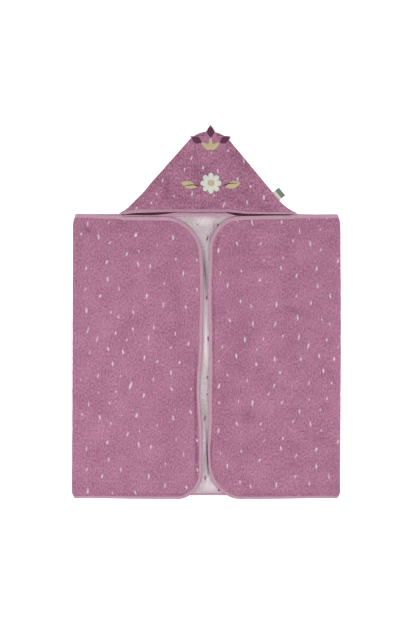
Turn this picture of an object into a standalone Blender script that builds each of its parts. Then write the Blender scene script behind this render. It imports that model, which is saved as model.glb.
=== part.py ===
"""A toddler's hooded bath towel in terry cloth, laid flat with both sides folded over its front.

Metres, Z up. The towel lies on z = 0 with its hood towards +Y and its folded sides towards -X
and +X. The origin is on the surface it lies on, under the middle of the whole outline.
"""

import math

import bmesh
import bpy
from mathutils import Vector

# Cloth and binding, as thicknesses and widths.
TERRY = 0.0030
TERRY_IN_BINDING = 0.0010
SEAM = 0.0016
BINDING_WIDTH = 0.0070
BINDING_WALL = 0.0007
BINDING_PAST_EDGE = 0.0010
GAP = 0.0003
PRESSED_RIM = BINDING_WIDTH + 0.0015
FULL_RIM = PRESSED_RIM + 0.0030

# The flat cut: one rectangle with round corners, 1.30 m x 0.697 m with its binding.
CUT_TOP = 0.2391
CUT_BOTTOM = -0.4558
BACK_HALF = 0.3220
FOLD_RADIUS = 0.0050
FOLD_LENGTH = math.pi * FOLD_RADIUS
FLAPS = {
    # side: its sizes, then where its free edge bows out from the middle of the towel, as (height,
    # half length, how far), and where its top edge dips, as (from, to, how far) along the flap
    -1: {
        "length": 0.3117, "top_radius": 0.095, "bottom_radius": 0.065,
        "edge_bows": [(-0.187, 0.130, 0.0065), (0.050, 0.090, -0.0014)],
        "top_dips": [(0.100, 0.116, 0.0042), (0.160, 0.220, 0.0012)],
    },
    1: {
        "length": 0.3144, "top_radius": 0.079, "bottom_radius": 0.083,
        "edge_bows": [(0.039, 0.110, -0.0022), (-0.155, 0.070, 0.0015), (-0.334, 0.065, -0.0035)],
        "top_dips": [(0.092, 0.120, 0.0025), (0.140, 0.240, 0.0017)],
    },
}

# How the laid towel departs from its flat cut.
FLAP_LEVEL = 0.0064
FLAP_DESCENT = 0.055
FLAP_BOTTOM_DIP = 0.0025
FLAP_BOTTOM_DIP_TO = 0.200
BACK_TOP_RISE = 0.0030
BACK_TOP_RISE_HALF = 0.170
BACK_BOTTOM_RISE = 0.0060
FOLD_SHIFT_FROM = 0.8  # as a share of the back's half
FOLD_TOP_ROUND = 0.0240
FOLD_BOTTOM_ROUND = 0.0130
FOLD_END_INSET = 0.0060
FOLD_END_CURVE = 1.5
LEFT_FOLD_LEAN = 0.0014
RIGHT_FOLD_BULGE = 0.0018
RIGHT_BULGE_MIDDLE, RIGHT_BULGE_HALF = 0.6, 0.6

# Soft ridges (+) and troughs (-) across the flaps.
SWELLS = [
    # x, y, turn in degrees, length, width, height
    (0.220, 0.000, -19, 0.100, 0.034, -0.0009),
    (0.266, -0.039, -20, 0.110, 0.034, -0.0009),
    (0.258, -0.259, 27, 0.090, 0.036, -0.0008),
    (0.150, 0.205, -12, 0.080, 0.034, -0.0009),
    (-0.150, 0.180, 4, 0.200, 0.050, -0.0006),
    (-0.120, -0.300, -60, 0.240, 0.120, 0.0010),
    (0.130, -0.180, 70, 0.260, 0.130, 0.0009),
    (-0.190, 0.040, 80, 0.240, 0.110, 0.0008),
]

# The hood: two triangles with a round tip, sewn together along their slanting sides.
HOOD_APEX = Vector((0.0086, 0.4790))
HOOD_SPREAD = {-1: 0.8875, 1: 0.8310}
HOOD_TIP_RADIUS = 0.068
HOOD_TIP_CUT = math.radians(80)
HOOD_FLARE = {-1: 0.0105, 1: 0.0165}
HOOD_FLARE_HEIGHT = {-1: 0.022, 1: 0.032}
HOOD_HOLLOW = {-1: 0.0020, 1: 0.0}
HOOD_HOLLOW_MIDDLE, HOOD_HOLLOW_HALF = 0.282, 0.040
HOOD_BASE = CUT_TOP + BINDING_PAST_EDGE + GAP
SEAM_EDGE, SEAM_SHOULDER = 0.004, 0.024
HOOD_SEAM_LEVEL = 0.0027
HOOD_SHOULDER_FROM = 0.003
HOOD_SHOULDER_RISE = 0.0023
HOOD_CROWN_RISE = 0.0018
HOOD_CROWN_FROM = 0.060
MOUTH_LIFT = 0.0009
MOUTH_LIFT_FROM, MOUTH_LIFT_TO = 0.008, 0.030
MOUTH_BASE = HOOD_BASE + 0.0006
MOUTH_RISE = 0.0042
MOUTH_RISES_FROM, MOUTH_RISES_TO = -0.215, -0.165
MOUTH_FALLS_FROM, MOUTH_FALLS_TO = 0.045, 0.110
MOUTH_ARCH_FROM, MOUTH_ARCH_FADES = 0.010, 0.060
BINDING_TAIL = 0.004  # as a share of the opening's width

# What is sewn on the hood.
SPRIG_ROOT = Vector((0.0105, 0.4010))
SPRIG_THICKNESS = 0.0020
SPRIG_ROOT_LEVEL = 0.0085
SPRIG_FALL = 0.045
SPRIG_TURNS = [-60, 0, 60]
LOBE_LENGTH = 0.0590
LOBE_HALF_WIDTH = 0.0165
LOBE_FULLEST = 0.75  # the power of the way along a lobe, which moves its widest place
LOBE_VALLEY, LOBE_FOOT = 0.48, 0.12  # where its outline starts, as shares of its length
LOBE_STEPS = 6
SPRIG_LEAF_START = 0.0260
SPRIG_LEAF_LENGTH = 0.0270
SPRIG_LEAF_WIDTH = 0.0170
STEM_REACH = 0.0250
STEM_FORK = 0.0110
STEM_HALF_TURN = 7
STEM_VALLEY_TURN, STEM_FOOT_TURN = 30, 115
DAISY_MIDDLE = Vector((0.0115, 0.3150))
DAISY_RADIUS = 0.0260
DAISY_PETALS = 8
DAISY_NOTCH = 0.34
PETAL_ROUNDNESS = 0.6
PETAL_STEPS = 6
DAISY_HEART_RADIUS = 0.0075
HEART_STEPS = 16
MOTIF_LEAF_LENGTH = 0.0420
MOTIF_LEAF_WIDTH = 0.0190
MOTIF_LEAF_OUT = 0.0540
MOTIF_LEAF_DROP = 0.0040
MOTIF_LEAF_TURN = 17
APPLIQUE = 0.0010
APPLIQUE_LIFT = 0.0006

# The folded label in the hood's right-hand seam.
LABEL_Y = 0.2832
LABEL_WIDTH = 0.0250
LABEL_REACH = 0.0185
LABEL_WALL = 0.0004
LABEL_LOOP = 0.0005
LABEL_LOOP_STEPS = 4
LABEL_CLEAR = 0.0002
LABEL_SEAM_LEVEL = 0.0021
LABEL_STEP_DOWN = 0.0060

# How finely the walls are cut up.
BACK_COLUMNS = [0.09, 0.18, 0.27, 0.36, 0.45, 0.54, 0.67, 0.8, 0.9, 1]  # of the back's half
FOLD_STEPS = 6
FLAP_COLUMNS = [0.010, 0.022, 0.036, FLAP_DESCENT, 0.180]
CORNER_STEPS = 8
BODY_STEPS = 14
HOOD_HALF_COLUMNS = [0, 0.02, 0.05, 0.10, 0.19, 0.30, 0.40]  # as shares of the hood's width
HOOD_LOW_ROWS = [0.022, 0.034]
HOOD_BACK_LOWEST_ROWS = [0, 0.005, 0.012]
HOOD_SIDE_STEPS = 6
HOOD_TIP_STEPS = 5
MERGE = 1e-6

MATERIALS = {
    # name: linear colour, roughness
    "mauve_terry": ((0.410, 0.160, 0.280), 0.95),
    "pink_binding": ((0.550, 0.280, 0.400), 0.75),
    "plum_felt": ((0.110, 0.030, 0.070), 0.90),
    "beige_felt": ((0.580, 0.440, 0.280), 0.90),
    "cream_felt": ((0.730, 0.730, 0.680), 0.90),
    "label_ribbon": ((0.190, 0.260, 0.220), 0.60),
}


def clear_scene():
    for item in list(bpy.data.objects):
        bpy.data.objects.remove(item, do_unlink=True)


def material(name):
    if name in bpy.data.materials:
        return bpy.data.materials[name]
    colour, roughness = MATERIALS[name]
    made = bpy.data.materials.new(name)
    made.use_nodes = True
    shader = made.node_tree.nodes["Principled BSDF"]
    shader.inputs["Base Color"].default_value = (*colour, 1)
    shader.inputs["Roughness"].default_value = roughness
    shader.inputs["Metallic"].default_value = 0
    return made


def smooth(value, low, high):
    """0 below low and 1 above high, with an S-curve between them."""
    t = min(max((value - low) / (high - low), 0.0), 1.0)
    return t * t * (3 - 2 * t)


def bump(value, middle, half):
    """1 in the middle, falling softly to 0 at half on either side."""
    t = min(abs(value - middle) / half, 1.0)
    return math.cos(t * math.pi / 2) ** 2


def cloth_wall(name, columns, rows, place, thickness, finish, offset=0, fullness=None):
    """A wall of cloth: a grid that place() lays out in space, thickened by Solidify.

    fullness(column, row) is the wall there as a share of the thickness. Points that place()
    puts together are joined, which closes a ring or the middle of a disc.
    """
    grid = bmesh.new()
    bmesh.ops.create_grid(grid, x_segments=len(columns) - 1, y_segments=len(rows) - 1, size=1)
    weights = grid.verts.layers.deform.verify()
    thinnest = TERRY_IN_BINDING / TERRY
    for vert in grid.verts:
        column = columns[round((vert.co.x + 1) / 2 * (len(columns) - 1))]
        row = rows[round((vert.co.y + 1) / 2 * (len(rows) - 1))]
        vert.co = place(column, row)
        if fullness:
            vert[weights][0] = (fullness(column, row) - thinnest) / (1 - thinnest)
    bmesh.ops.remove_doubles(grid, verts=grid.verts, dist=MERGE)
    mesh = bpy.data.meshes.new(name)
    grid.to_mesh(mesh)
    grid.free()
    mesh.shade_smooth()
    mesh.materials.append(material(finish))
    piece = bpy.data.objects.new(name, mesh)
    bpy.data.collections["hooded_towel"].objects.link(piece)
    wall = piece.modifiers.new("Wall", "SOLIDIFY")
    wall.thickness = thickness
    wall.offset = offset
    wall.use_even_offset = True
    if fullness:
        piece.vertex_groups.new(name="Fullness")
        wall.vertex_group = "Fullness"
        wall.thickness_vertex_group = thinnest
    return piece


def bound_fullness(depth):
    """The terry's share of its thickness, at a depth in from an edge that a binding wraps."""
    thinnest = TERRY_IN_BINDING / TERRY
    return thinnest + (1 - thinnest) * smooth(depth, PRESSED_RIM, FULL_RIM)


def binding_profile():
    """The middle of the binding's wall, as (past the edge, above the cloth's middle)."""
    above = (TERRY - BINDING_WALL) / 2
    past = BINDING_PAST_EDGE - BINDING_WALL / 2
    return [(-BINDING_WIDTH, above), (past, above), (past, -above), (-BINDING_WIDTH, -above)]


# The folded body


def side_of(s):
    return -1 if s < 0 else 1


def cut_reach(side):
    """From the middle of the cut to its free edge."""
    return BACK_HALF + FOLD_LENGTH + FLAPS[side]["length"]


def corner_loss(s, corner):
    """How much shorter the cut is at s, at its top or bottom, because of the round corner."""
    radius = FLAPS[side_of(s)][corner]
    from_edge = cut_reach(side_of(s)) - abs(s)
    if from_edge >= radius:
        return 0.0
    return radius - math.sqrt(radius**2 - (radius - from_edge) ** 2)


def cut_point(s, row):
    """A row is a share of the cut's height at s and an inset to add to it."""
    share, inset = row
    top = CUT_TOP - corner_loss(s, "top_radius")
    bottom = CUT_BOTTOM + corner_loss(s, "bottom_radius")
    return s, bottom + share * (top - bottom) + inset


def cut_depth(s, v):
    """How far a point of the flat cut is in from the nearest edge, round corners included."""
    side = side_of(s)
    from_side = cut_reach(side) - abs(s)
    depth = min(from_side, CUT_TOP - v, v - CUT_BOTTOM)
    for corner, from_end in (("top_radius", CUT_TOP - v), ("bottom_radius", v - CUT_BOTTOM)):
        radius = FLAPS[side][corner]
        if from_side < radius and from_end < radius:
            depth = min(depth, radius - math.hypot(radius - from_side, radius - from_end))
    return depth


def swell(x, y):
    """The height that the soft ridges and troughs add at a place on a flap."""
    total = 0.0
    for middle_x, middle_y, turn, length, width, height in SWELLS:
        cosine, sine = math.cos(math.radians(turn)), math.sin(math.radians(turn))
        right, up = x - middle_x, y - middle_y
        along = right * cosine + up * sine
        beside = up * cosine - right * sine
        total += height * bump(along, 0, length / 2) * bump(beside, 0, width / 2)
    return total


def fold_shift(side, v):
    """How far the fold lies outside its mean line at this height."""
    height = (v - CUT_BOTTOM) / (CUT_TOP - CUT_BOTTOM)
    from_end = min((CUT_TOP - v) / FOLD_TOP_ROUND, (v - CUT_BOTTOM) / FOLD_BOTTOM_ROUND)
    inset = FOLD_END_INSET * max(0.0, 1 - from_end) ** FOLD_END_CURVE
    if side < 0:
        return LEFT_FOLD_LEAN * (1 - 2 * height) - inset
    return RIGHT_FOLD_BULGE * bump(height, RIGHT_BULGE_MIDDLE, RIGHT_BULGE_HALF) - inset


def back_top_rise(x):
    """How far the hood draws the back's top edge up."""
    return BACK_TOP_RISE * bump(x, 0, BACK_TOP_RISE_HALF)


def folded(s, v):
    """Where the middle of the wall lies, for a point s across and v along the flat cut."""
    side, across = side_of(s), abs(s)
    height = (v - CUT_BOTTOM) / (CUT_TOP - CUT_BOTTOM)
    shift = fold_shift(side, v)
    back_level = TERRY / 2
    if across <= BACK_HALF:
        y = v + height * back_top_rise(s)
        y += (1 - height) * BACK_BOTTOM_RISE * (1 - (across / BACK_HALF) ** 2)
        x = across + shift * smooth(across, FOLD_SHIFT_FROM * BACK_HALF, BACK_HALF)
        return Vector((side * x, y, back_level))
    if across <= BACK_HALF + FOLD_LENGTH:
        turn = (across - BACK_HALF) / FOLD_RADIUS
        x = BACK_HALF + shift + FOLD_RADIUS * math.sin(turn)
        return Vector((side * x, v, back_level + FOLD_RADIUS * (1 - math.cos(turn))))
    flap = FLAPS[side]
    along = across - BACK_HALF - FOLD_LENGTH
    bow = sum(far * bump(v, middle, half) for middle, half, far in flap["edge_bows"])
    x = BACK_HALF + shift - along + bow * (along / flap["length"]) ** 2
    dip = sum(far * smooth(along, low, high) for low, high, far in flap["top_dips"])
    y = v - height * dip - (1 - height) * FLAP_BOTTOM_DIP * smooth(along, 0, FLAP_BOTTOM_DIP_TO)
    descent = smooth(along, 0, FLAP_DESCENT)
    fold_top = back_level + 2 * FOLD_RADIUS
    z = fold_top + (FLAP_LEVEL - fold_top + swell(side * x, y)) * descent
    return Vector((side * x, y, z))


def folded_normal(s, v):
    step = 1e-4
    across = folded(s + step, v) - folded(s - step, v)
    along = folded(s, v + step) - folded(s, v - step)
    return across.cross(along).normalized()


def side_columns(side):
    """Places across one side of the cut, from its middle to its free edge."""
    flap = FLAPS[side]
    radius = max(flap["top_radius"], flap["bottom_radius"])
    reach = cut_reach(side)
    flap_start = BACK_HALF + FOLD_LENGTH
    dips = [end for low, high, _ in flap["top_dips"][:1] for end in (low, high)]
    corner = [math.pi / 2 * step / CORNER_STEPS for step in range(1, CORNER_STEPS + 1)]
    places = [BACK_HALF * share for share in BACK_COLUMNS]
    places += [BACK_HALF + FOLD_LENGTH * step / FOLD_STEPS for step in range(1, FOLD_STEPS + 1)]
    places += [flap_start + along for along in FLAP_COLUMNS + dips]
    places += [reach - radius * (1 - math.cos(turn)) for turn in corner]
    places += [reach - FULL_RIM, reach - PRESSED_RIM, reach]
    return [side * place for place in sorted(places)]


def body_columns():
    return list(reversed(side_columns(-1))) + [0.0] + side_columns(1)


def body_rows():
    rim = [0.0, PRESSED_RIM, FULL_RIM, FOLD_TOP_ROUND]
    shares = [step / BODY_STEPS for step in range(1, BODY_STEPS)]
    rows = [(0, inset) for inset in rim] + [(share, rim[-1] * (1 - 2 * share)) for share in shares]
    return rows + [(1, -inset) for inset in reversed(rim)]


def body_edge():
    """The cut's edge anticlockwise, as (point of the flat cut, direction out of it)."""
    columns, rows = body_columns(), body_rows()
    edge = [cut_point(s, rows[0]) for s in columns]
    edge += [cut_point(columns[-1], row) for row in rows[1:-1]]
    edge += [cut_point(s, rows[-1]) for s in reversed(columns)]
    edge += [cut_point(columns[0], row) for row in reversed(rows[1:-1])]
    points = [Vector(point) for point in edge]
    samples = []
    for index, point in enumerate(points):
        travel = (points[(index + 1) % len(points)] - points[index - 1]).normalized()
        samples.append((point, Vector((travel.y, -travel.x))))
    return samples + samples[:1]


def make_towel_body():
    def place(s, row):
        return folded(*cut_point(s, row))

    def fullness(s, row):
        return bound_fullness(cut_depth(*cut_point(s, row)))

    cloth_wall("towel_body", body_columns(), body_rows(), place, TERRY, "mauve_terry",
               fullness=fullness)


def make_body_binding():
    def place(sample, profile):
        point, outward = sample
        past, above = profile
        flat = point + outward * past
        return folded(*flat) + folded_normal(*flat) * above

    cloth_wall("body_binding", body_edge(), binding_profile(), place, BINDING_WALL,
               "pink_binding")


# The hood


def hood_tip():
    """The middle of the hood's round tip, and each side's lean from upright."""
    leans = {side: math.atan(spread) for side, spread in HOOD_SPREAD.items()}
    half_angle = (leans[-1] + leans[1]) / 2
    turn = (leans[1] - leans[-1]) / 2
    down = Vector((math.sin(turn), -math.cos(turn)))
    return HOOD_APEX + down * (HOOD_TIP_RADIUS / math.sin(half_angle)), leans


def hood_side(side, y):
    """Where the sewn side of the hood is at this height."""
    tip, leans = hood_tip()
    if y > tip.y + HOOD_TIP_RADIUS * math.sin(leans[side]):
        return tip.x + side * math.sqrt(max(0.0, HOOD_TIP_RADIUS**2 - (y - tip.y) ** 2))
    flare = HOOD_FLARE[side] * max(0.0, 1 - (y - HOOD_BASE) / HOOD_FLARE_HEIGHT[side]) ** 2
    hollow = HOOD_HOLLOW[side] * bump(y, HOOD_HOLLOW_MIDDLE, HOOD_HOLLOW_HALF)
    return HOOD_APEX.x + side * (HOOD_SPREAD[side] * (HOOD_APEX.y - y) + flare - hollow)


def seam_depth(x, y):
    """How far a place on the hood is in from its sewn sides and tip."""
    tip, leans = hood_tip()
    from_tip = Vector((x, y)) - tip
    if all(from_tip.y * math.cos(leans[side]) > side * from_tip.x * math.sin(leans[side])
           for side in (-1, 1)):
        return HOOD_TIP_RADIUS - from_tip.length
    return min(side * (hood_side(side, y) - x) * math.cos(leans[side]) for side in (-1, 1))


def mouth_edge(x):
    """The lower edge of the hood's opening, the binding included."""
    rises = smooth(x, MOUTH_RISES_FROM, MOUTH_RISES_TO)
    falls = smooth(x, MOUTH_FALLS_FROM, MOUTH_FALLS_TO)
    return MOUTH_BASE + MOUTH_RISE * rises * (1 - falls)


def seam_thickness(x, y):
    return SEAM + (TERRY - SEAM) * smooth(seam_depth(x, y), SEAM_EDGE, SEAM_SHOULDER)


def hood_level(x, y):
    """The height of the middle of the hood's front wall."""
    depth = seam_depth(x, y)
    level = HOOD_SEAM_LEVEL
    level += HOOD_SHOULDER_RISE * smooth(depth, HOOD_SHOULDER_FROM, SEAM_SHOULDER)
    level += HOOD_CROWN_RISE * smooth(depth, SEAM_SHOULDER, HOOD_CROWN_FROM)
    from_mouth = y - mouth_edge(x)
    return level + MOUTH_LIFT * (1 - smooth(from_mouth, MOUTH_LIFT_FROM, MOUTH_LIFT_TO))


def hood_top(x, y):
    """The height of the outer face of the hood's front wall."""
    return hood_level(x, y) + seam_thickness(x, y) / 2


def hood_columns():
    return HOOD_HALF_COLUMNS + [0.5] + [1 - share for share in reversed(HOOD_HALF_COLUMNS)]


def tip_rows():
    """Heights round the hood's tip, up to a short flat end."""
    tip, leans = hood_tip()
    first = max(leans.values())
    shares = [step / HOOD_TIP_STEPS for step in range(HOOD_TIP_STEPS + 1)]
    turns = [first + (HOOD_TIP_CUT - first) * share for share in shares]
    return [tip.y + HOOD_TIP_RADIUS * math.sin(turn) for turn in turns]


def hood_rows(lowest):
    """The lowest rows, the low ones, then even ones up the hood's sides and round its tip."""
    low = [HOOD_BASE + rise for rise in HOOD_LOW_ROWS]
    tip = tip_rows()
    rise = tip[0] - low[-1]
    sides = [low[-1] + rise * step / HOOD_SIDE_STEPS for step in range(1, HOOD_SIDE_STEPS)]
    return lowest + low + sides + tip


def across_hood(share, y):
    left, right = hood_side(-1, y), hood_side(1, y)
    return left + share * (right - left)


def make_hood_back():
    rows = hood_rows([HOOD_BASE + rise for rise in HOOD_BACK_LOWEST_ROWS])

    def place(share, y):
        x = across_hood(share, y)
        return Vector((x, y + (back_top_rise(x) if y == HOOD_BASE else 0), 0))

    def fullness(share, y):
        return seam_thickness(across_hood(share, y), y) / TERRY

    cloth_wall("hood_back", hood_columns(), rows, place, TERRY, "mauve_terry", offset=1,
               fullness=fullness)


def mouth_place(share, nominal):
    """A place on the front wall: its rows follow the opening's arch, which fades upwards."""
    x = across_hood(share, nominal)
    fade = 1 - smooth(nominal - MOUTH_BASE, MOUTH_ARCH_FROM, MOUTH_ARCH_FADES)
    return x, nominal + (mouth_edge(x) - MOUTH_BASE) * fade


def make_hood_front():
    edge = MOUTH_BASE + BINDING_PAST_EDGE
    rows = hood_rows([edge, edge + PRESSED_RIM, edge + FULL_RIM])

    def place(share, nominal):
        x, y = mouth_place(share, nominal)
        return Vector((x, y, hood_level(x, y)))

    def fullness(share, nominal):
        x, y = mouth_place(share, nominal)
        return min(seam_thickness(x, y) / TERRY, bound_fullness(nominal - edge))

    cloth_wall("hood_front", hood_columns(), rows, place, TERRY, "mauve_terry",
               fullness=fullness)


def make_hood_binding():
    edge = MOUTH_BASE + BINDING_PAST_EDGE

    def place(share, profile):
        past, above = profile
        x, y = mouth_place(share, edge - past)
        return Vector((x, y, hood_level(x, y) + above))

    columns = [-BINDING_TAIL] + hood_columns() + [1 + BINDING_TAIL]
    cloth_wall("hood_binding", columns, binding_profile(), place, BINDING_WALL, "pink_binding")


# What is sewn on the hood


def laid_piece(name, outline, middle, surface, lift, thickness, finish):
    """A flat piece, its outline given anticlockwise, laid at a lift above a surface."""
    def place(corner, share):
        point = outline[corner % len(outline)].lerp(middle, share)
        return Vector((*point, surface(*point) + lift))

    cloth_wall(name, list(range(len(outline) + 1)), [0, 0.5, 1], place, thickness, finish,
               offset=1)


def sprig_level(x, y):
    """The underside of the sprig, a shallow cone over the hood's tip."""
    return SPRIG_ROOT_LEVEL - SPRIG_FALL * (Vector((x, y)) - SPRIG_ROOT).length


def around(middle, degrees, distance):
    """A point at a distance from the middle, turned clockwise from upright."""
    turn = math.radians(degrees)
    return middle + Vector((math.sin(turn), math.cos(turn))) * distance


def leaf_outline(middle, length, width, degrees, steps=8):
    """A pointed oval about its middle, its long way turned clockwise from upright."""
    along = around(Vector((0, 0)), degrees, 1)
    beside = Vector((along.y, -along.x))
    one_side = [(step / steps - 0.5, math.sin(math.pi * step / steps)) for step in range(steps)]
    up = [middle + along * (a * length) + beside * (b * width / 2) for a, b in one_side]
    down = [middle - along * (a * length) - beside * (b * width / 2) for a, b in one_side]
    return up + down


def lobe_side(turn, side, start):
    """One side of a lobe of the sprig's backing, from its start to its tip."""
    points = []
    for step in range(LOBE_STEPS + 1):
        share = start + (1 - start) * step / LOBE_STEPS
        along = share * LOBE_LENGTH
        beside = LOBE_HALF_WIDTH * math.sin(math.pi * share**LOBE_FULLEST)
        degrees = turn + side * math.degrees(math.atan2(beside, along))
        points.append(around(SPRIG_ROOT, degrees, math.hypot(along, beside)))
    return points


def sprig_outline():
    """Three pointed lobes, anticlockwise from the foot of the one on the right."""
    outline = []
    for turn in reversed(SPRIG_TURNS):
        right = LOBE_FOOT if turn == SPRIG_TURNS[-1] else LOBE_VALLEY
        left = LOBE_FOOT if turn == SPRIG_TURNS[0] else LOBE_VALLEY
        outline += lobe_side(turn, 1, right) + lobe_side(turn, -1, left)[-2::-1]
    return outline


def make_sprig():
    """Three leaves sewn on a backing that stands past the hood's tip, over a forked stem."""
    laid_piece("sprig_backing", sprig_outline(), SPRIG_ROOT, sprig_level, 0, SPRIG_THICKNESS,
               "mauve_terry")
    lift = SPRIG_THICKNESS + GAP
    for number, turn in enumerate(SPRIG_TURNS, 1):
        middle = around(SPRIG_ROOT, turn, SPRIG_LEAF_START + SPRIG_LEAF_LENGTH / 2)
        outline = leaf_outline(middle, SPRIG_LEAF_LENGTH, SPRIG_LEAF_WIDTH, turn)
        laid_piece(f"sprig_leaf_{number}", outline, middle, sprig_level, lift, APPLIQUE,
                   "plum_felt")
    stems = [around(SPRIG_ROOT, STEM_FOOT_TURN, STEM_FORK)]
    for turn in reversed(SPRIG_TURNS):
        stems += [around(SPRIG_ROOT, turn + STEM_HALF_TURN, STEM_REACH),
                  around(SPRIG_ROOT, turn - STEM_HALF_TURN, STEM_REACH),
                  around(SPRIG_ROOT, turn - STEM_VALLEY_TURN, STEM_FORK)]
    stems[-1] = around(SPRIG_ROOT, -STEM_FOOT_TURN, STEM_FORK)
    laid_piece("sprig_stems", stems, SPRIG_ROOT, sprig_level, lift, APPLIQUE, "beige_felt")


def make_daisy():
    steps = PETAL_STEPS * DAISY_PETALS
    petals = []
    for step in range(steps):
        turn = -360 * step / steps
        petal = abs(math.cos(math.radians(turn) * DAISY_PETALS / 2)) ** PETAL_ROUNDNESS
        petals.append(around(DAISY_MIDDLE, turn, DAISY_RADIUS * (1 - DAISY_NOTCH * (1 - petal))))
    laid_piece("daisy_petals", petals, DAISY_MIDDLE, hood_top, APPLIQUE_LIFT, APPLIQUE,
               "cream_felt")
    heart = [around(DAISY_MIDDLE, -360 * step / HEART_STEPS, DAISY_HEART_RADIUS)
             for step in range(HEART_STEPS)]
    laid_piece("daisy_heart", heart, DAISY_MIDDLE, hood_top, APPLIQUE_LIFT + APPLIQUE + GAP,
               APPLIQUE, "beige_felt")


def make_motif_leaves():
    for side, name in ((-1, "motif_leaf_left"), (1, "motif_leaf_right")):
        middle = DAISY_MIDDLE + Vector((side * MOTIF_LEAF_OUT, -MOTIF_LEAF_DROP))
        outline = leaf_outline(middle, MOTIF_LEAF_LENGTH, MOTIF_LEAF_WIDTH,
                               90 - side * MOTIF_LEAF_TURN)
        laid_piece(name, outline, middle, hood_top, APPLIQUE_LIFT, APPLIQUE, "beige_felt")


def make_side_label():
    """A ribbon folded over at its outer end, with both its ends at the hood's seam."""
    middle = Vector((hood_side(1, LABEL_Y), LABEL_Y))
    lean = hood_tip()[1][1]
    along = Vector((math.sin(lean), -math.cos(lean)))
    outward = Vector((math.cos(lean), math.sin(lean)))
    low = LABEL_WALL / 2 + LABEL_CLEAR
    high = low + 2 * LABEL_LOOP
    start = LABEL_WALL
    turns = [math.pi * step / LABEL_LOOP_STEPS for step in range(LABEL_LOOP_STEPS + 1)]
    bend = [(LABEL_REACH + LABEL_LOOP * math.sin(turn), low + LABEL_LOOP * (1 + math.cos(turn)))
            for turn in turns]
    path = [(start, LABEL_SEAM_LEVEL), (LABEL_STEP_DOWN, high + LABEL_CLEAR)]
    path += bend + [(start, low)]

    def place(share, step):
        out, height = step
        point = middle + along * (share * LABEL_WIDTH) + outward * out
        return Vector((*point, height))

    cloth_wall("side_label", [-0.5, 0, 0.5], path, place, LABEL_WALL, "label_ribbon")


def main():
    clear_scene()
    towel = bpy.data.collections.new("hooded_towel")
    bpy.context.scene.collection.children.link(towel)
    make_towel_body()
    make_body_binding()
    make_hood_back()
    make_hood_front()
    make_hood_binding()
    make_sprig()
    make_daisy()
    make_motif_leaves()
    make_side_label()


main()
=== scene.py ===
import math

import bmesh
import bpy
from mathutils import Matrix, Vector, kdtree, noise


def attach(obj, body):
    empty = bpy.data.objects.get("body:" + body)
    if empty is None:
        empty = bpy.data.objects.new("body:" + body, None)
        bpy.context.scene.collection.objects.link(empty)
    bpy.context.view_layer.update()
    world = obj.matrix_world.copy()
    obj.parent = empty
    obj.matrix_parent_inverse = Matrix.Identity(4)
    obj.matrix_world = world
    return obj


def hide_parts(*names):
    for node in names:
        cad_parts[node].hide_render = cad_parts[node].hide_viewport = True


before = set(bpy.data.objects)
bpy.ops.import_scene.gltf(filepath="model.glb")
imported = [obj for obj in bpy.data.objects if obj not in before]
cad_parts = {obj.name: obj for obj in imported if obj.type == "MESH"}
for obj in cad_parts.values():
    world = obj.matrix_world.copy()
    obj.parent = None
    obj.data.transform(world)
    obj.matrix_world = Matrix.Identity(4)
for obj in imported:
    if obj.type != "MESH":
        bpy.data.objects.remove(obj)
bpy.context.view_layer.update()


# The table, the light and the camera
# A plain white table between two wide soft lamps, with weaker ones over it and beyond the hood. The
# camera looks straight down through a long lens.
PICTURE_HEIGHT = 1.5288
PICTURE_MIDDLE = Vector((0.0042, -0.0005))
CLOTH_LEVEL = 0.008
LENS_MM, SENSOR_MM = 100, 36
TABLE_HALF = 15.0
TABLE_DROP = 0.0003
TABLE_WHITE = (0.92, 0.92, 0.93)
TABLE_GLOW = 0.80
AMBIENT = 0.28
LAMPS = [
    # name, place, width, watts
    ("lamp_over", (-0.30, -0.26, 1.4), 0.8, 6.2),
    ("lamp_left", (-2.6, -0.4, 2.3), 1.4, 29),
    ("lamp_right", (2.6, -0.7, 2.2), 1.4, 42),
    ("lamp_top", (-0.4, 2.6, 3.0), 1.6, 10),
]

for name, place, width, watts in LAMPS:
    light = bpy.data.lights.new(name, "AREA")
    light.size = width
    light.energy = watts
    lamp = bpy.data.objects.new(name, light)
    lamp.location = place
    lamp.rotation_euler = (-Vector(place)).to_track_quat("-Z", "Y").to_euler()
    bpy.context.scene.collection.objects.link(lamp)

sky = bpy.data.worlds.new("studio")
sky.use_nodes = True
sky.node_tree.nodes["Background"].inputs["Color"].default_value = (1, 1, 1, 1)
sky.node_tree.nodes["Background"].inputs["Strength"].default_value = AMBIENT
bpy.context.scene.world = sky
bpy.context.scene.view_settings.view_transform = "Standard"

lens = bpy.data.cameras.new("camera")
lens.lens, lens.sensor_width = LENS_MM, SENSOR_MM
camera = bpy.data.objects.new("camera", lens)
camera.location = (*PICTURE_MIDDLE, CLOTH_LEVEL + PICTURE_HEIGHT * LENS_MM / SENSOR_MM)
bpy.context.scene.collection.objects.link(camera)
bpy.context.scene.camera = camera


def as_object(name, shape, finishes):
    """The bmesh as a smooth object with these materials."""
    mesh = bpy.data.meshes.new(name)
    shape.to_mesh(mesh)
    shape.free()
    mesh.shade_smooth()
    for finish in finishes:
        mesh.materials.append(finish)
    made = bpy.data.objects.new(name, mesh)
    bpy.context.scene.collection.objects.link(made)
    return made


white = bpy.data.materials.new("table_white")
white.use_nodes = True
paint = white.node_tree.nodes["Principled BSDF"]
paint.inputs["Base Color"].default_value = (*TABLE_WHITE, 1)
paint.inputs["Roughness"].default_value = 0.9
paint.inputs["Emission Color"].default_value = (1, 1, 1, 1)
paint.inputs["Emission Strength"].default_value = TABLE_GLOW

top = bmesh.new()
bmesh.ops.create_grid(top, x_segments=1, y_segments=1, size=TABLE_HALF)
bmesh.ops.translate(top, verts=top.verts, vec=(0, 0, -TABLE_DROP))
as_object("table", top, [white])


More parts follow.
